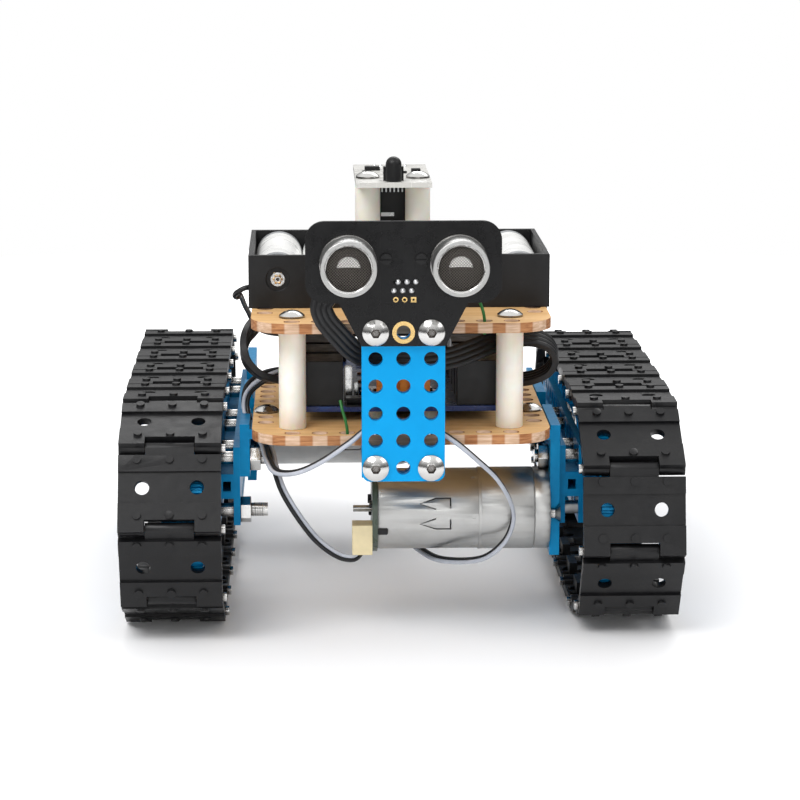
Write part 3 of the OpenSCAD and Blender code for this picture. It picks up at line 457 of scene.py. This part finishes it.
def ribbon_profile(width, thick, cores=4, steps=6):
    """Section of a flat cable: round cores side by side, with shallow grooves between them."""
    upper = []
    for k in range(cores * steps + 1):
        bulge = 0.7 + 0.3 * abs(math.sin(math.pi * k / steps))
        upper.append((width * (k / (cores * steps) - 0.5), bulge * thick / 2))
    return upper[::-1] + [(u, -v) for u, v in upper]


def cable(name, points, profile, slot, up=(0, 0, 1), steps=14, twist=0.0):
    """A smooth cable through waypoints in mm."""
    bm = bmesh.new()
    sweep(bm, catmull([vec(*p) for p in points], steps), profile, Vector(up), twist)
    add_piece(name, bm, slot)


def twin_wire(name, points, r=0.62, up=(0, 0, 1)):
    """Two insulated wires side by side, one black and one grey."""
    for side, slot in ((-1, "wire_black"), (1, "wire_grey")):
        cable(f"{name}_{slot.removeprefix('wire_')}", points, round_profile(r, 12, side * r * 0.98), slot, up)


def lathe(bm, profile, origin, axis, segments=48):
    """Turns a list of (radius, height) in mm about an axis; heights run along the axis from the origin."""
    axis = Vector(axis).normalized()
    side = axis.orthogonal().normalized()
    other = axis.cross(side)
    rings = []
    for r, h in profile:
        base = origin + axis * h * MM
        if r == 0:
            rings.append([bm.verts.new(base)])
            continue
        rings.append([bm.verts.new(base + (side * math.cos(a) + other * math.sin(a)) * r * MM)
                      for a in (2 * math.pi * k / segments for k in range(segments))])
    for a, b in zip(rings, rings[1:]):
        for k in range(segments):
            k2 = (k + 1) % segments
            corners = [a[k % len(a)], a[k2 % len(a)], b[k2 % len(b)], b[k % len(b)]]
            unique = list(dict.fromkeys(corners))
            if len(unique) > 2:
                bm.faces.new(unique)


def brick(bm, low, high, chamfer=0.15):
    """A box with chamfered edges between two corners in mm."""
    made = bmesh.ops.create_cube(bm, size=1)["verts"]
    size = Vector(high) - Vector(low)
    centre = (Vector(high) + Vector(low)) / 2
    for v in made:
        v.co = (v.co * size + centre) * MM
    edges = list({e for v in made for e in v.link_edges})
    bmesh.ops.bevel(bm, geom=edges, offset=chamfer * MM, segments=2, affect="EDGES")


def mm_box(node):
    """A node's two corners in mm from MIDDLE."""
    lo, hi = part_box(node)
    return (lo - MIDDLE) / MM, (hi - MIDDLE) / MM


# ------------------------------------------------------------------ sensor details

board_lo = mm_box("sensor_board")[0]
eyes_lo, eyes_hi = mm_box("sensor_transducers")
EYE_R = 8.0
EYE_X = (eyes_hi.x - eyes_lo.x) / 2 - EYE_R
EYE_Z = (eyes_lo.z + eyes_hi.z) / 2
CUP_R = 6.7
CUP_DEPTH = 2.5
CONE_R = 3.3
FACE_Y = board_lo.y
PIN_PITCH = 2.54
TOUCH = 0.02


def grille(side, name):
    """Woven wire disc across the mouth of a transducer, sagging inwards like a shallow dish."""
    wire_pitch, wire_w, sag, set_back, weave = 0.58, 0.17, 0.35, 0.5, 0.05
    spans = 6
    count = int(CUP_R / wire_pitch)
    slant = Matrix.Rotation(math.radians(-45), 3, "Y")
    bm = bmesh.new()
    for along in (0, 1):
        for i in range(-count, count + 1):
            offset = (i + 0.5) * wire_pitch
            if abs(offset) >= CUP_R - wire_pitch / 5:
                continue
            half = math.sqrt(CUP_R ** 2 - offset ** 2)
            points = []
            for k in range(-spans, spans + 1):
                t = half * k / spans
                u, v = (t, offset) if along else (offset, t)
                depth = set_back + along * weave - sag * (1 - (u * u + v * v) / CUP_R ** 2)
                flat = slant @ Vector((u, 0, v))
                points.append(vec(side * EYE_X + flat.x, eyes_lo.y + depth, EYE_Z + flat.z))
            sweep(bm, points, round_profile(wire_w / 2, 4), Vector((0, 1, 0)))
    add_piece(name, bm, "grille_wire")


def eye_inside(side, name):
    """The black holder and the resonator cone, bright with painted light, seen through the grille."""
    floor = vec(side * EYE_X, eyes_lo.y + CUP_DEPTH, EYE_Z)
    holder = [(CUP_R - TOUCH, 0), (CUP_R - TOUCH, -1.2), (6.2, -0.35), (4.6, -0.35), (3.7, -0.6), (3.4, -0.6),
              (CONE_R, 0)]
    bm = bmesh.new()
    lathe(bm, holder, floor, (0, 1, 0))
    add_piece(name + "_holder", bm, "black_plastic")
    bm = bmesh.new()
    lathe(bm, [(CONE_R, -0.05), (CONE_R, -1.1), (3.0, -1.2), (0.8, -0.5), (0, -0.45)], floor, (0, 1, 0))
    add_piece(name + "_cone", bm, "resonator")


def eye_rim(side, name):
    """Rolled bright lip round the mouth and the crimped foot ring of a transducer."""
    mouth = vec(side * EYE_X, eyes_lo.y, EYE_Z)
    lip = [(CUP_R - 0.25, 0.5), (CUP_R - 0.3, 0.2), (CUP_R - 0.1, 0.02), (7.2, 0.02), (7.7, 0.12),
           (EYE_R + 0.02, 0.5), (EYE_R + 0.02, 0.9), (7.6, 0.9), (CUP_R, 0.9), (CUP_R - 0.25, 0.5)]
    foot = [(EYE_R - 0.1, 11.2), (EYE_R + 0.25, 11.3), (EYE_R + 0.3, 11.9), (EYE_R - 0.1, 12.0 - TOUCH)]
    bm = bmesh.new()
    lathe(bm, lip, mouth, (0, 1, 0), 64)
    lathe(bm, foot + foot[:1], mouth, (0, 1, 0), 64)
    add_piece(name, bm, "bright_steel")


for side, tag in ((-1, "left"), (1, "right")):
    grille(side, f"{tag}_sensor_grille")
    eye_inside(side, f"{tag}_sensor_resonator")
    eye_rim(side, f"{tag}_sensor_rim")


def ring(bm, x, z, inner, outer, square=False):
    """Flat pad with a hole, standing on the front of the sensor board."""
    sides, turn, grow = (4, math.pi / 4, math.sqrt(2)) if square else (28, 0, 1)
    section = ((inner, -0.03), (outer * grow, -0.05), (outer * grow, 0.01), (inner, 0.01))
    angles = [turn + 2 * math.pi * k / sides for k in range(sides)]
    loops = [[bm.verts.new(vec(x + r * math.cos(a), FACE_Y + y, z + r * math.sin(a))) for a in angles]
             for r, y in section]
    for a, b in zip(loops, loops[1:] + loops[:1]):
        for k in range(sides):
            bm.faces.new((a[k], a[(k + 1) % sides], b[(k + 1) % sides], b[k]))


def sensor_pads():
    """Three bare pads and the gold ring of the middle hole, with two rows of solder joints above them."""
    rows = [board_lo.z + 13.5 + PIN_PITCH * i for i in range(3)]
    joint = [(0.82, 0), (0.74, 0.2), (0.5, 0.42), (0.3, 0.62), (0, 0.72)]
    pads = bmesh.new()
    for column in (-1, 0, 1):
        ring(pads, 0.3 + PIN_PITCH * column, rows[0], 0.42, 0.78, square=column == 1)
    ring(pads, 0, board_lo.z + 4, 2.05, 3.25)
    add_piece("sensor_gold_pads", pads, "gold")
    blobs = bmesh.new()
    for row, shift in ((1, -0.25), (2, 0.95)):
        for column in (-1, 0, 1):
            foot = vec(shift + PIN_PITCH * column, FACE_Y + 0.01, rows[row])
            lathe(blobs, joint, foot, (0, -1, 0), 20)
    add_piece("sensor_solder_joints", blobs, "solder")


sensor_pads()

# ------------------------------------------------------------------ decks, plate and fasteners

upper_lo, upper_hi = mm_box("upper_deck")
lower_lo, lower_hi = mm_box("lower_deck")
motor_lo, motor_hi = mm_box("right_motor_board")
can_lo, can_hi = mm_box("right_motor_can")
case_hi = mm_box("right_gearbox_case")[1]
AXLE_Z = (can_lo.z + can_hi.z) / 2
AXLE_Y = -(can_lo.y + can_hi.y) / 2
BEAM_IN = case_hi.x + 0.5
BOARD_T = 1.6
NUT_H = 3.2
GRID = 8.0


def thread(bm, start, axis, length, r=2.0, pitch=0.7, sides=20):
    """A single helical ridge round a bolt end, from start along axis."""
    axis = Vector(axis).normalized()
    side = axis.orthogonal().normalized()
    other = axis.cross(side)
    start = Vector(start) * MM
    turns = length / pitch - 1
    rings = []
    for i in range(int(turns * sides) + 1):
        a = 2 * math.pi * i / sides
        out = side * math.cos(a) + other * math.sin(a)
        base = pitch * (0.5 + i / sides)
        grow = min(1, i / sides, turns - i / sides + 0.05)
        rings.append([bm.verts.new(start + (axis * (base + h) + out * (r - 0.05 + g * grow)) * MM)
                      for h, g in ((-0.27, 0), (-0.05, 0.21), (0.05, 0.21), (0.27, 0))])
    for a, b in zip(rings, rings[1:]):
        for k in range(4):
            bm.faces.new((a[k], a[(k + 1) % 4], b[(k + 1) % 4], b[k]))
    bm.faces.new(rings[0][::-1])
    bm.faces.new(rings[-1])


def idler_threads():
    """The free end of each idler axle, inside its nut's face."""
    free = 4.7
    bm = bmesh.new()
    for turn in (1, -1):
        start = (-turn * (BEAM_IN - NUT_H + TOUCH), -turn * AXLE_Y, AXLE_Z)
        thread(bm, start, (turn, 0, 0), free)
    add_piece("idler_axle_threads", bm, "bright_steel")


idler_threads()


def tie(name, x, lean, deck_lo, deck_hi):
    """A thin green wire that comes up through a front hole of a deck and leans over behind it."""
    y, top = deck_lo.y + GRID / 2, deck_hi.z
    rise = ((0, 0, 0), (0.2, 0.3, 3), (0.7, 1.2, 6.5), (1, 3, 9))
    points = [(x, y, deck_lo.z - 1)] + [(x + share * lean, y + back, top + up) for share, back, up in rise]
    cable(name, points, round_profile(0.45), "wire_green", (1, 0, 0))


tie("upper_wire_tie", 3 * GRID, -2.5, upper_lo, upper_hi)
tie("lower_wire_tie", -2 * GRID, -2, lower_lo, lower_hi)

# ------------------------------------------------------------------ motors


def half_turn(bm, back):
    """Turns the right motor's parts round to the left motor, if back is true."""
    if back:
        bmesh.ops.rotate(bm, verts=bm.verts, cent=(0, 0, 0), matrix=Matrix.Rotation(math.pi, 3, "Z"))


# On a motor's board, from the axle: y, z and radius of each solder joint
MOTOR_SOLDER = ((-4, 9.5, 0.75), (3.5, 9.8, 0.75), (-7.5, -7.2, 0.6), (-9, -5, 0.6), (6, -6.5, 0.9),
                (0, -10, 0.6))
# y, z, width, height and thickness of each small part
MOTOR_PARTS = ((-8.6, 3, 2.4, 1.3, 0.9), (-4.6, 2.6, 1.6, 1.6, 0.8), (6.5, 1.5, 1.4, 2.6, 1),
               (4.4, -2.4, 2.2, 1.2, 0.8))
CAN_TAB = Vector((3.04, 1, 2))
CAN_TAB_AT = (-0.04, -12, -5.4)


def motor_seam(back, tag, axle):
    """The rolled seam round the front of the can and the collar round its back."""
    r = (can_hi.z - can_lo.z) / 2
    seam = [(r - 0.3, -0.5), (r + 0.22, -0.45), (r + 0.3, 0), (r + 0.22, 0.45), (r - 0.3, 0.5)]
    collar = [(r - 0.5, -0.12), (r - 2.2, -0.12), (r - 2.4, 0.02), (r - 0.5, 0.02)]
    bm = bmesh.new()
    lathe(bm, seam + seam[:1], axle + vec(can_hi.x, 0, 0), (1, 0, 0), 72)
    lathe(bm, collar + collar[:1], axle + vec(can_lo.x + 0.1, 0, 0), (1, 0, 0), 64)
    half_turn(bm, back)
    add_piece(f"{tag}_motor_seam", bm, "satin_steel")


def motor_solder(back, tag, axle):
    """Solder joints on the back of the motor's board."""
    board_x = motor_hi.x - BOARD_T
    bm = bmesh.new()
    for y, z, r in MOTOR_SOLDER:
        cone = [(r, 0), (r * 0.85, 0.25), (r * 0.35, 0.9), (0.2, 1.5), (0, 1.6)]
        lathe(bm, cone, axle + vec(board_x, y, z), (-1, 0, 0), 16)
    half_turn(bm, back)
    add_piece(f"{tag}_motor_solder", bm, "solder")


def motor_parts(back, tag, axle):
    """Small parts on the motor's board, and the tab on the back of the can."""
    board_x = motor_hi.x - BOARD_T
    centre = axle / MM
    bm = bmesh.new()
    for y, z, w, h, thick in MOTOR_PARTS:
        low = centre + Vector((board_x - thick, y - w / 2, z - h / 2))
        brick(bm, low, low + Vector((thick, w, h)), 0.1)
    low = centre + Vector(CAN_TAB_AT) + Vector((can_lo.x, 0, 0))
    brick(bm, low, low + CAN_TAB, 0.2)
    half_turn(bm, back)
    add_piece(f"{tag}_motor_board_parts", bm, "black_plastic")


for back, tag in ((False, "right"), (True, "left")):
    axle = vec(0, -AXLE_Y, AXLE_Z)
    motor_seam(back, tag, axle)
    motor_solder(back, tag, axle)
    motor_parts(back, tag, axle)

# ------------------------------------------------------------------ battery box details

box_lo, box_hi = mm_box("battery_box")
cells_lo, cells_hi = mm_box("battery_cells")
CELLS = 6
BOX_WALLS = 3
CELL_PITCH = (box_hi.x - box_lo.x - BOX_WALLS) / CELLS
CELL_Z = (cells_lo.z + cells_hi.z) / 2
RIVET_X = -CELL_PITCH * (CELLS - 1) / 2
RIVET_SEAT = 0.8


def rivet_flower(bm, centre, facing):
    """A tubular rivet rolled out into six petals round a dark centre."""
    petals, steps = 6, 72
    # radius, height, how deep the lobes cut in and how far the petals curl, from the middle outwards
    levels = ((0.55, 0.35, 0, 0), (1.05, 0.72, 0.05, 0), (1.75, 0.55, 0.22, 0.35), (2.25, 0.05, 0.42, 0))
    rings = []
    for r, h, lobe, curl in levels:
        loop = []
        for k in range(steps):
            a = 2 * math.pi * k / steps
            wave = abs(math.sin(petals * a / 2))
            reach = r * (1 - lobe * wave ** 4)
            y = centre[1] + facing * (h - curl * wave ** 8)
            x, z = centre[0] + reach * math.cos(a), centre[2] + reach * math.sin(a)
            loop.append(bm.verts.new(vec(x, y, z)))
        rings.append(loop)
    for a, b in zip(rings, rings[1:]):
        for k in range(steps):
            bm.faces.new((a[k], a[(k + 1) % steps], b[(k + 1) % steps], b[k]))


def battery_rivets():
    """The terminal rivets in the front and the back wall of the battery box."""
    bm = bmesh.new()
    rivet_flower(bm, (RIVET_X, box_lo.y + RIVET_SEAT, CELL_Z), -1)
    rivet_flower(bm, (-RIVET_X, box_hi.y - RIVET_SEAT, CELL_Z), 1)
    add_piece("battery_rivet_flowers", bm, "bronze")


battery_rivets()

# ------------------------------------------------------------------ cables and plugs

main_lo = mm_box("main_board")[0]
TOP_Z = main_lo.z + BOARD_T
# The mouths of the controller's two front pairs of jacks
MOUTH_X = 30.0
MOUTH_Z = TOP_Z + 6.4
JACK_Y = [main_lo.y + 7.5 + 16.5 * i for i in range(2)]
FLAT = ribbon_profile(6.4, 2.3)
PLUG_X = motor_lo.x - 3
LEFT, RIGHT = -1, 1
PLUG_HALF = Vector((2.6, 4.7, 3.2))


def cable_plugs():
    """The plugs in the controller's jacks, three of which have a cable."""
    bm = bmesh.new()
    for side, y in ((LEFT, JACK_Y[0]), (LEFT, JACK_Y[1]), (RIGHT, JACK_Y[0])):
        centre = Vector((side * (MOUTH_X - 0.4), y, MOUTH_Z))
        brick(bm, centre - PLUG_HALF, centre + PLUG_HALF, 0.4)
    add_piece("cable_plugs", bm, "wire_grey")


cable_plugs()

# Each cable is a list of waypoints in mm from MIDDLE, from its plug or root to its other end
cable("sensor_cable", [
    (-6.6, -90.2, 110), (-12, -90.4, 109.5), (-19, -90.6, 107.4), (-23.2, -90.8, 103), (-22.4, -90.8, 98.5),
    (-18.6, -90.2, 93.6), (-13.6, -88.4, 88.4), (-6, -84.8, 85), (4, -80.6, 83.6), (14, -77, 84.2),
    (22, -73.6, 86.2), (30, -69.6, 88.4), (38, -67, 88.8), (44, -65.6, 86.6), (46.4, -64, 82.4),
    (44.8, -62.4, 78), (40, -61.6, 75.4), (34, JACK_Y[0], MOUTH_Z), (31.5, JACK_Y[0], MOUTH_Z)],
    FLAT, "wire_black", (0, -1, 0.2), twist=-90)
cable("receiver_cable", [
    (0, 22.2, 119.5), (0, 27, 118.5), (-5, 30.5, 112), (-18, 30.5, 102), (-31, 26, 94), (-38.6, 16, 90.4),
    (-40.6, 4, 89.4), (-40.8, -10, 89), (-41.6, -26, 88.8), (-43.4, -42, 88.6), (-45.6, -53, 87.6),
    (-46.6, -59, 84.6), (-45.4, -61.4, 80.2), (-41.6, -61.6, 76.6), (-36.5, JACK_Y[0], MOUTH_Z + 0.5),
    (-33, JACK_Y[0], MOUTH_Z), (-31.5, JACK_Y[0], MOUTH_Z)], FLAT, "wire_black", (0, 1, 0.3))

twin_wire("right_motor_wire", [
    (PLUG_X, -68.5, 26.4), (PLUG_X - 0.5, -68.8, 23.8), (PLUG_X - 2.8, -69.8, 22), (-19, -71.2, 23.4),
    (-25, -73, 28.5), (-30.5, -76, 36.5), (-35, -78.6, 45), (-37.4, -75, 51.5), (-38.6, -68, 54.6),
    (-40.6, -58, 56.6), (-44, -48, 58), (-46.6, -41, 62.6), (-46, -38.6, 68.4), (-41.4, -40, 72.6),
    (-35.5, JACK_Y[1] + 1.5, MOUTH_Z), (-31.5, JACK_Y[1] + 1.5, MOUTH_Z)], up=(0.5, -1, 0.2))
twin_wire("left_motor_wire", [
    (-31.5, JACK_Y[1] - 2, MOUTH_Z), (-35.5, JACK_Y[1] - 2, MOUTH_Z), (-41.4, -46.4, 72),
    (-45.9, -44.6, 67.4), (-46.3, -46.6, 62), (-43.6, -54, 57.6), (-41, -65, 56.4),
    (-39.4, -76, 54), (-36.8, -84, 52),
    (-31, -89.5, 53), (-24, -91.4, 56.4), (-16, -91.4, 61.8), (-9, -90.6, 66.6), (0, -90.4, 67.2),
    (9, -90.4, 65.6), (15, -90.6, 62.2), (22, -89, 56), (28, -85.5, 49.5), (32.4, -80, 41), (33.2, -76, 34),
    (30.4, -75, 27.5), (24, -73.6, 22.5), (14, -67, 20.4), (8, -56, 20), (2, -38, 22), (-2, -8, 27),
    (1, 34, 27), (6, 60, 23), (-PLUG_X, 68.5, 22.8), (-PLUG_X, 68.5, 26.4)], up=(0.3, -1, 0.2))
cable("battery_lead_black", [
    (-RIVET_X, box_hi.y + 0.6, CELL_Z), (38, 3.4, 103), (43, 3, 100), (47.6, -2, 98), (48.4, -8, 92),
    (47, 0, 80), (42, 12, 74.6), (30, 20, 73.6), (20, 20.5, 73.6), (18.5, 16, 73.6), (18.5, 11, 73.6)],
    round_profile(0.8), "wire_black")
cable("battery_lead_grey", [
    (box_lo.x + 0.6, -57, 102.5), (box_lo.x - 1.2, -57.6, 102.3), (box_lo.x - 3.4, -57, 101),
    (box_lo.x - 4.2, -54, 99.5), (-48.6, -48, 98), (-48.2, -30, 96), (-46.6, -10, 88), (-42, 8, 78),
    (-28, 20.5, 74.5), (-4, 24, 74), (14, 23.5, 74), (19.4, 17, 74.4), (18.8, 11, 73.9)],
    round_profile(0.8), "wire_black")

# ------------------------------------------------------------------ receiver and controller parts

ir_lo, ir_hi = mm_box("ir_board")
# Centre x and y, width, depth and height of each part on the receiver board
RECEIVER_PARTS = ((-8, 16, 3, 1.6, 0.9), (-2, 15, 1.6, 0.9, 0.6), (4, 16.5, 2, 1.2, 0.7), (8, 20, 3, 3, 1.1),
                  (-6, 26, 5, 4, 1.2))


def receiver_parts():
    """Chips on the receiver board, and the solder joints of its cable jack and of its receiver."""
    bm = bmesh.new()
    for x, y, w, d, h in RECEIVER_PARTS:
        brick(bm, (x - w / 2, y - d / 2, ir_hi.z), (x + w / 2, y + d / 2, ir_hi.z + h), 0.1)
    add_piece("receiver_board_parts", bm, "black_plastic")
    bm = bmesh.new()
    for count, pitch, y, tip in ((6, 2, ir_hi.y - 6, 0.9), (3, PIN_PITCH, ir_lo.y + 9.5, 0.8)):
        for i in range(count):
            x = (i - (count - 1) / 2) * pitch
            joint = [(0.7, 0), (0.5, 0.3), (0.25, tip), (0, tip + 0.1)]
            lathe(bm, joint, vec(x, y, ir_hi.z), (0, 0, 1), 14)
    add_piece("receiver_board_solder", bm, "solder")


def controller_small_parts():
    """Rows of brown capacitors, left out where the chips stand."""
    half = Vector((0.9, 0.5, 0))
    bm = bmesh.new()
    for row in range(4):
        for column in range(5):
            x, y = -11 + 5.2 * column, -57 + 13.5 * row
            over_chip = -50 < y < -14 or -12 < y < -4
            if abs(x) < 7 and over_chip:
                continue
            centre = Vector((x, y, TOP_Z))
            brick(bm, centre - half, centre + half + Vector((0, 0, 0.7)), 0.08)
    add_piece("controller_small_parts", bm, "copper_brown")


TERMINAL_Y = main_lo.y + 0.6


def controller_terminals():
    """A block of orange terminals at the front edge, seen through the holes of the front plate."""
    left, right, pitch, width = -7, 9, 3.2, 2.2
    bm = bmesh.new()
    brick(bm, (left, TERMINAL_Y + 1, TOP_Z), (right, TERMINAL_Y + 3.6, TOP_Z + 9.6), 0.3)
    for i in range(5):
        x = left + pitch * i + 0.5
        brick(bm, (x, TERMINAL_Y, TOP_Z), (x + width, TERMINAL_Y + 1.2, TOP_Z + 9), 0.15)
    add_piece("controller_terminals", bm, "terminal_orange")


def controller_crystal():
    """A bright metal can and a shorter one beside it, just left of the front plate."""
    y = TERMINAL_Y + 6
    bm = bmesh.new()
    brick(bm, (-16.6, y, TOP_Z), (-14.2, y + 2, TOP_Z + 11), 0.35)
    brick(bm, (-13.6, y, TOP_Z), (-12.4, y + 1.2, TOP_Z + 6), 0.2)
    add_piece("controller_crystal", bm, "bright_steel")


def receiver_jack_pins():
    """Six contacts and the clip on the front of the jack under the receiver board."""
    face = mm_box("ir_studs")[1].y + 1
    sunk = face + 0.1
    bm = bmesh.new()
    for i in range(6):
        x = (i - 2.5) * 1.3
        brick(bm, (x - 0.22, face - 0.3, ir_lo.z - 3.6), (x + 0.22, sunk, ir_lo.z - 0.05), 0.06)
    brick(bm, (-3.6, face - 0.35, ir_lo.z - 11.4), (0.6, sunk, ir_lo.z - 10.2), 0.1)
    add_piece("receiver_jack_pins", bm, "solder")


def processor_legs():
    """Two rows of legs, in front of and behind the processor."""
    leg = Vector((0.4, 1.2, 0.3))
    bm = bmesh.new()
    for i in range(10):
        for y in (-29.2, -16):
            low = Vector((-6 + 1.2 * i, y, TOP_Z))
            brick(bm, low, low + leg, 0.04)
    add_piece("processor_legs", bm, "solder")


receiver_parts()
controller_small_parts()
controller_terminals()
controller_crystal()
receiver_jack_pins()
processor_legs()

# ------------------------------------------------------------------ stage, lights and camera

FLOOR_R = 0.75
ROBOT_CENTRE = (0, 0, 0.05)


def studio_floor():
    """A round white table top with a painted glow that only the camera sees. The glow grows away from the
    robot, so the top fades out to the white of the studio.
    """
    bm = bmesh.new()
    bmesh.ops.create_circle(bm, cap_ends=True, segments=96, radius=FLOOR_R)
    mesh = bpy.data.meshes.new("studio_floor")
    bm.to_mesh(mesh)
    bm.free()
    floor = bpy.data.objects.new("studio_floor", mesh)
    bpy.context.scene.collection.objects.link(floor)
    s = Shader("studio_floor", (0.92, 0.92, 0.93), 0.6)
    s.rough_noise(60, 0.55, 0.65)
    away = s.node("VectorMath", operation="LENGTH")
    s.link(s.coords, away.inputs[0])
    seen = s.node("LightPath").outputs["Is Camera Ray"]
    # Painted glow: camera-only emission, faint near the robot and full towards the rim.
    painted_glow = s.spread(away.outputs["Value"], 0.2, FLOOR_R * 0.9, 0.02, 1)
    s.set("Emission Color", (1, 1, 1, 1))
    s.set("Emission Strength", s.math("MULTIPLY", seen, painted_glow))
    mesh.materials.append(s.mat)


def soft_light(name, location, target, size, watts):
    """A white panel of the given size in metres that faces the target."""
    lamp = bpy.data.lights.new(name, "AREA")
    lamp.shape = "RECTANGLE"
    lamp.size, lamp.size_y = size
    lamp.energy = watts
    obj = bpy.data.objects.new(name, lamp)
    obj.location = location
    obj.rotation_euler = (Vector(target) - Vector(location)).to_track_quat("-Z", "Y").to_euler()
    bpy.context.scene.collection.objects.link(obj)


def world_light(low, high):
    """White to the camera. Reflections and light see a room that is dim at the horizon and bright above."""
    world = bpy.data.worlds.new("studio")
    world.use_nodes = True
    tree = world.node_tree
    background = tree.nodes["Background"]
    background.inputs["Color"].default_value = (1, 1, 1, 1)
    split = tree.nodes.new("ShaderNodeSeparateXYZ")
    tree.links.new(tree.nodes.new("ShaderNodeTexCoord").outputs["Generated"], split.inputs[0])
    rise = tree.nodes.new("ShaderNodeMapRange")
    for key, value in (("From Min", 0.05), ("From Max", 0.75), ("To Min", low), ("To Max", high)):
        rise.inputs[key].default_value = value
    tree.links.new(split.outputs[2], rise.inputs["Value"])
    pick = tree.nodes.new("ShaderNodeMix")
    tree.links.new(tree.nodes.new("ShaderNodeLightPath").outputs["Is Camera Ray"], pick.inputs["Factor"])
    tree.links.new(rise.outputs[0], pick.inputs["A"])
    pick.inputs["B"].default_value = 1
    tree.links.new(pick.outputs["Result"], background.inputs["Strength"])
    bpy.context.scene.world = world


def photo_camera():
    """Long lens a little above the robot, looking down and slightly to its right."""
    location, yaw, pitch, lens = vec(-27, -876, 230.5), 1.91, 11.23, 124.5
    camera = bpy.data.cameras.new("camera")
    camera.lens = lens
    camera.sensor_width = 36
    camera.clip_start, camera.clip_end = 0.05, 50
    obj = bpy.data.objects.new("camera", camera)
    obj.location = location + MIDDLE
    obj.rotation_euler = (math.radians(90 - pitch), 0, math.radians(-yaw))
    bpy.context.scene.collection.objects.link(obj)
    bpy.context.scene.camera = obj


studio_floor()
world_light(0.10, 1.08)
soft_light("key_light", (-0.5, -0.7, 1.0), ROBOT_CENTRE, (0.8, 0.6), 9)
soft_light("fill_light", (0.9, -0.5, 0.8), ROBOT_CENTRE, (0.6, 0.6), 1.6)
soft_light("front_light", (0.0, -1.2, 0.25), (0, 0, 0.06), (0.9, 0.3), 1.8)
soft_light("back_light", (0.2, 0.9, 0.9), (0, 0, 0.06), (0.9, 0.5), 5)
bpy.context.scene.view_settings.view_transform = "Standard"
photo_camera()
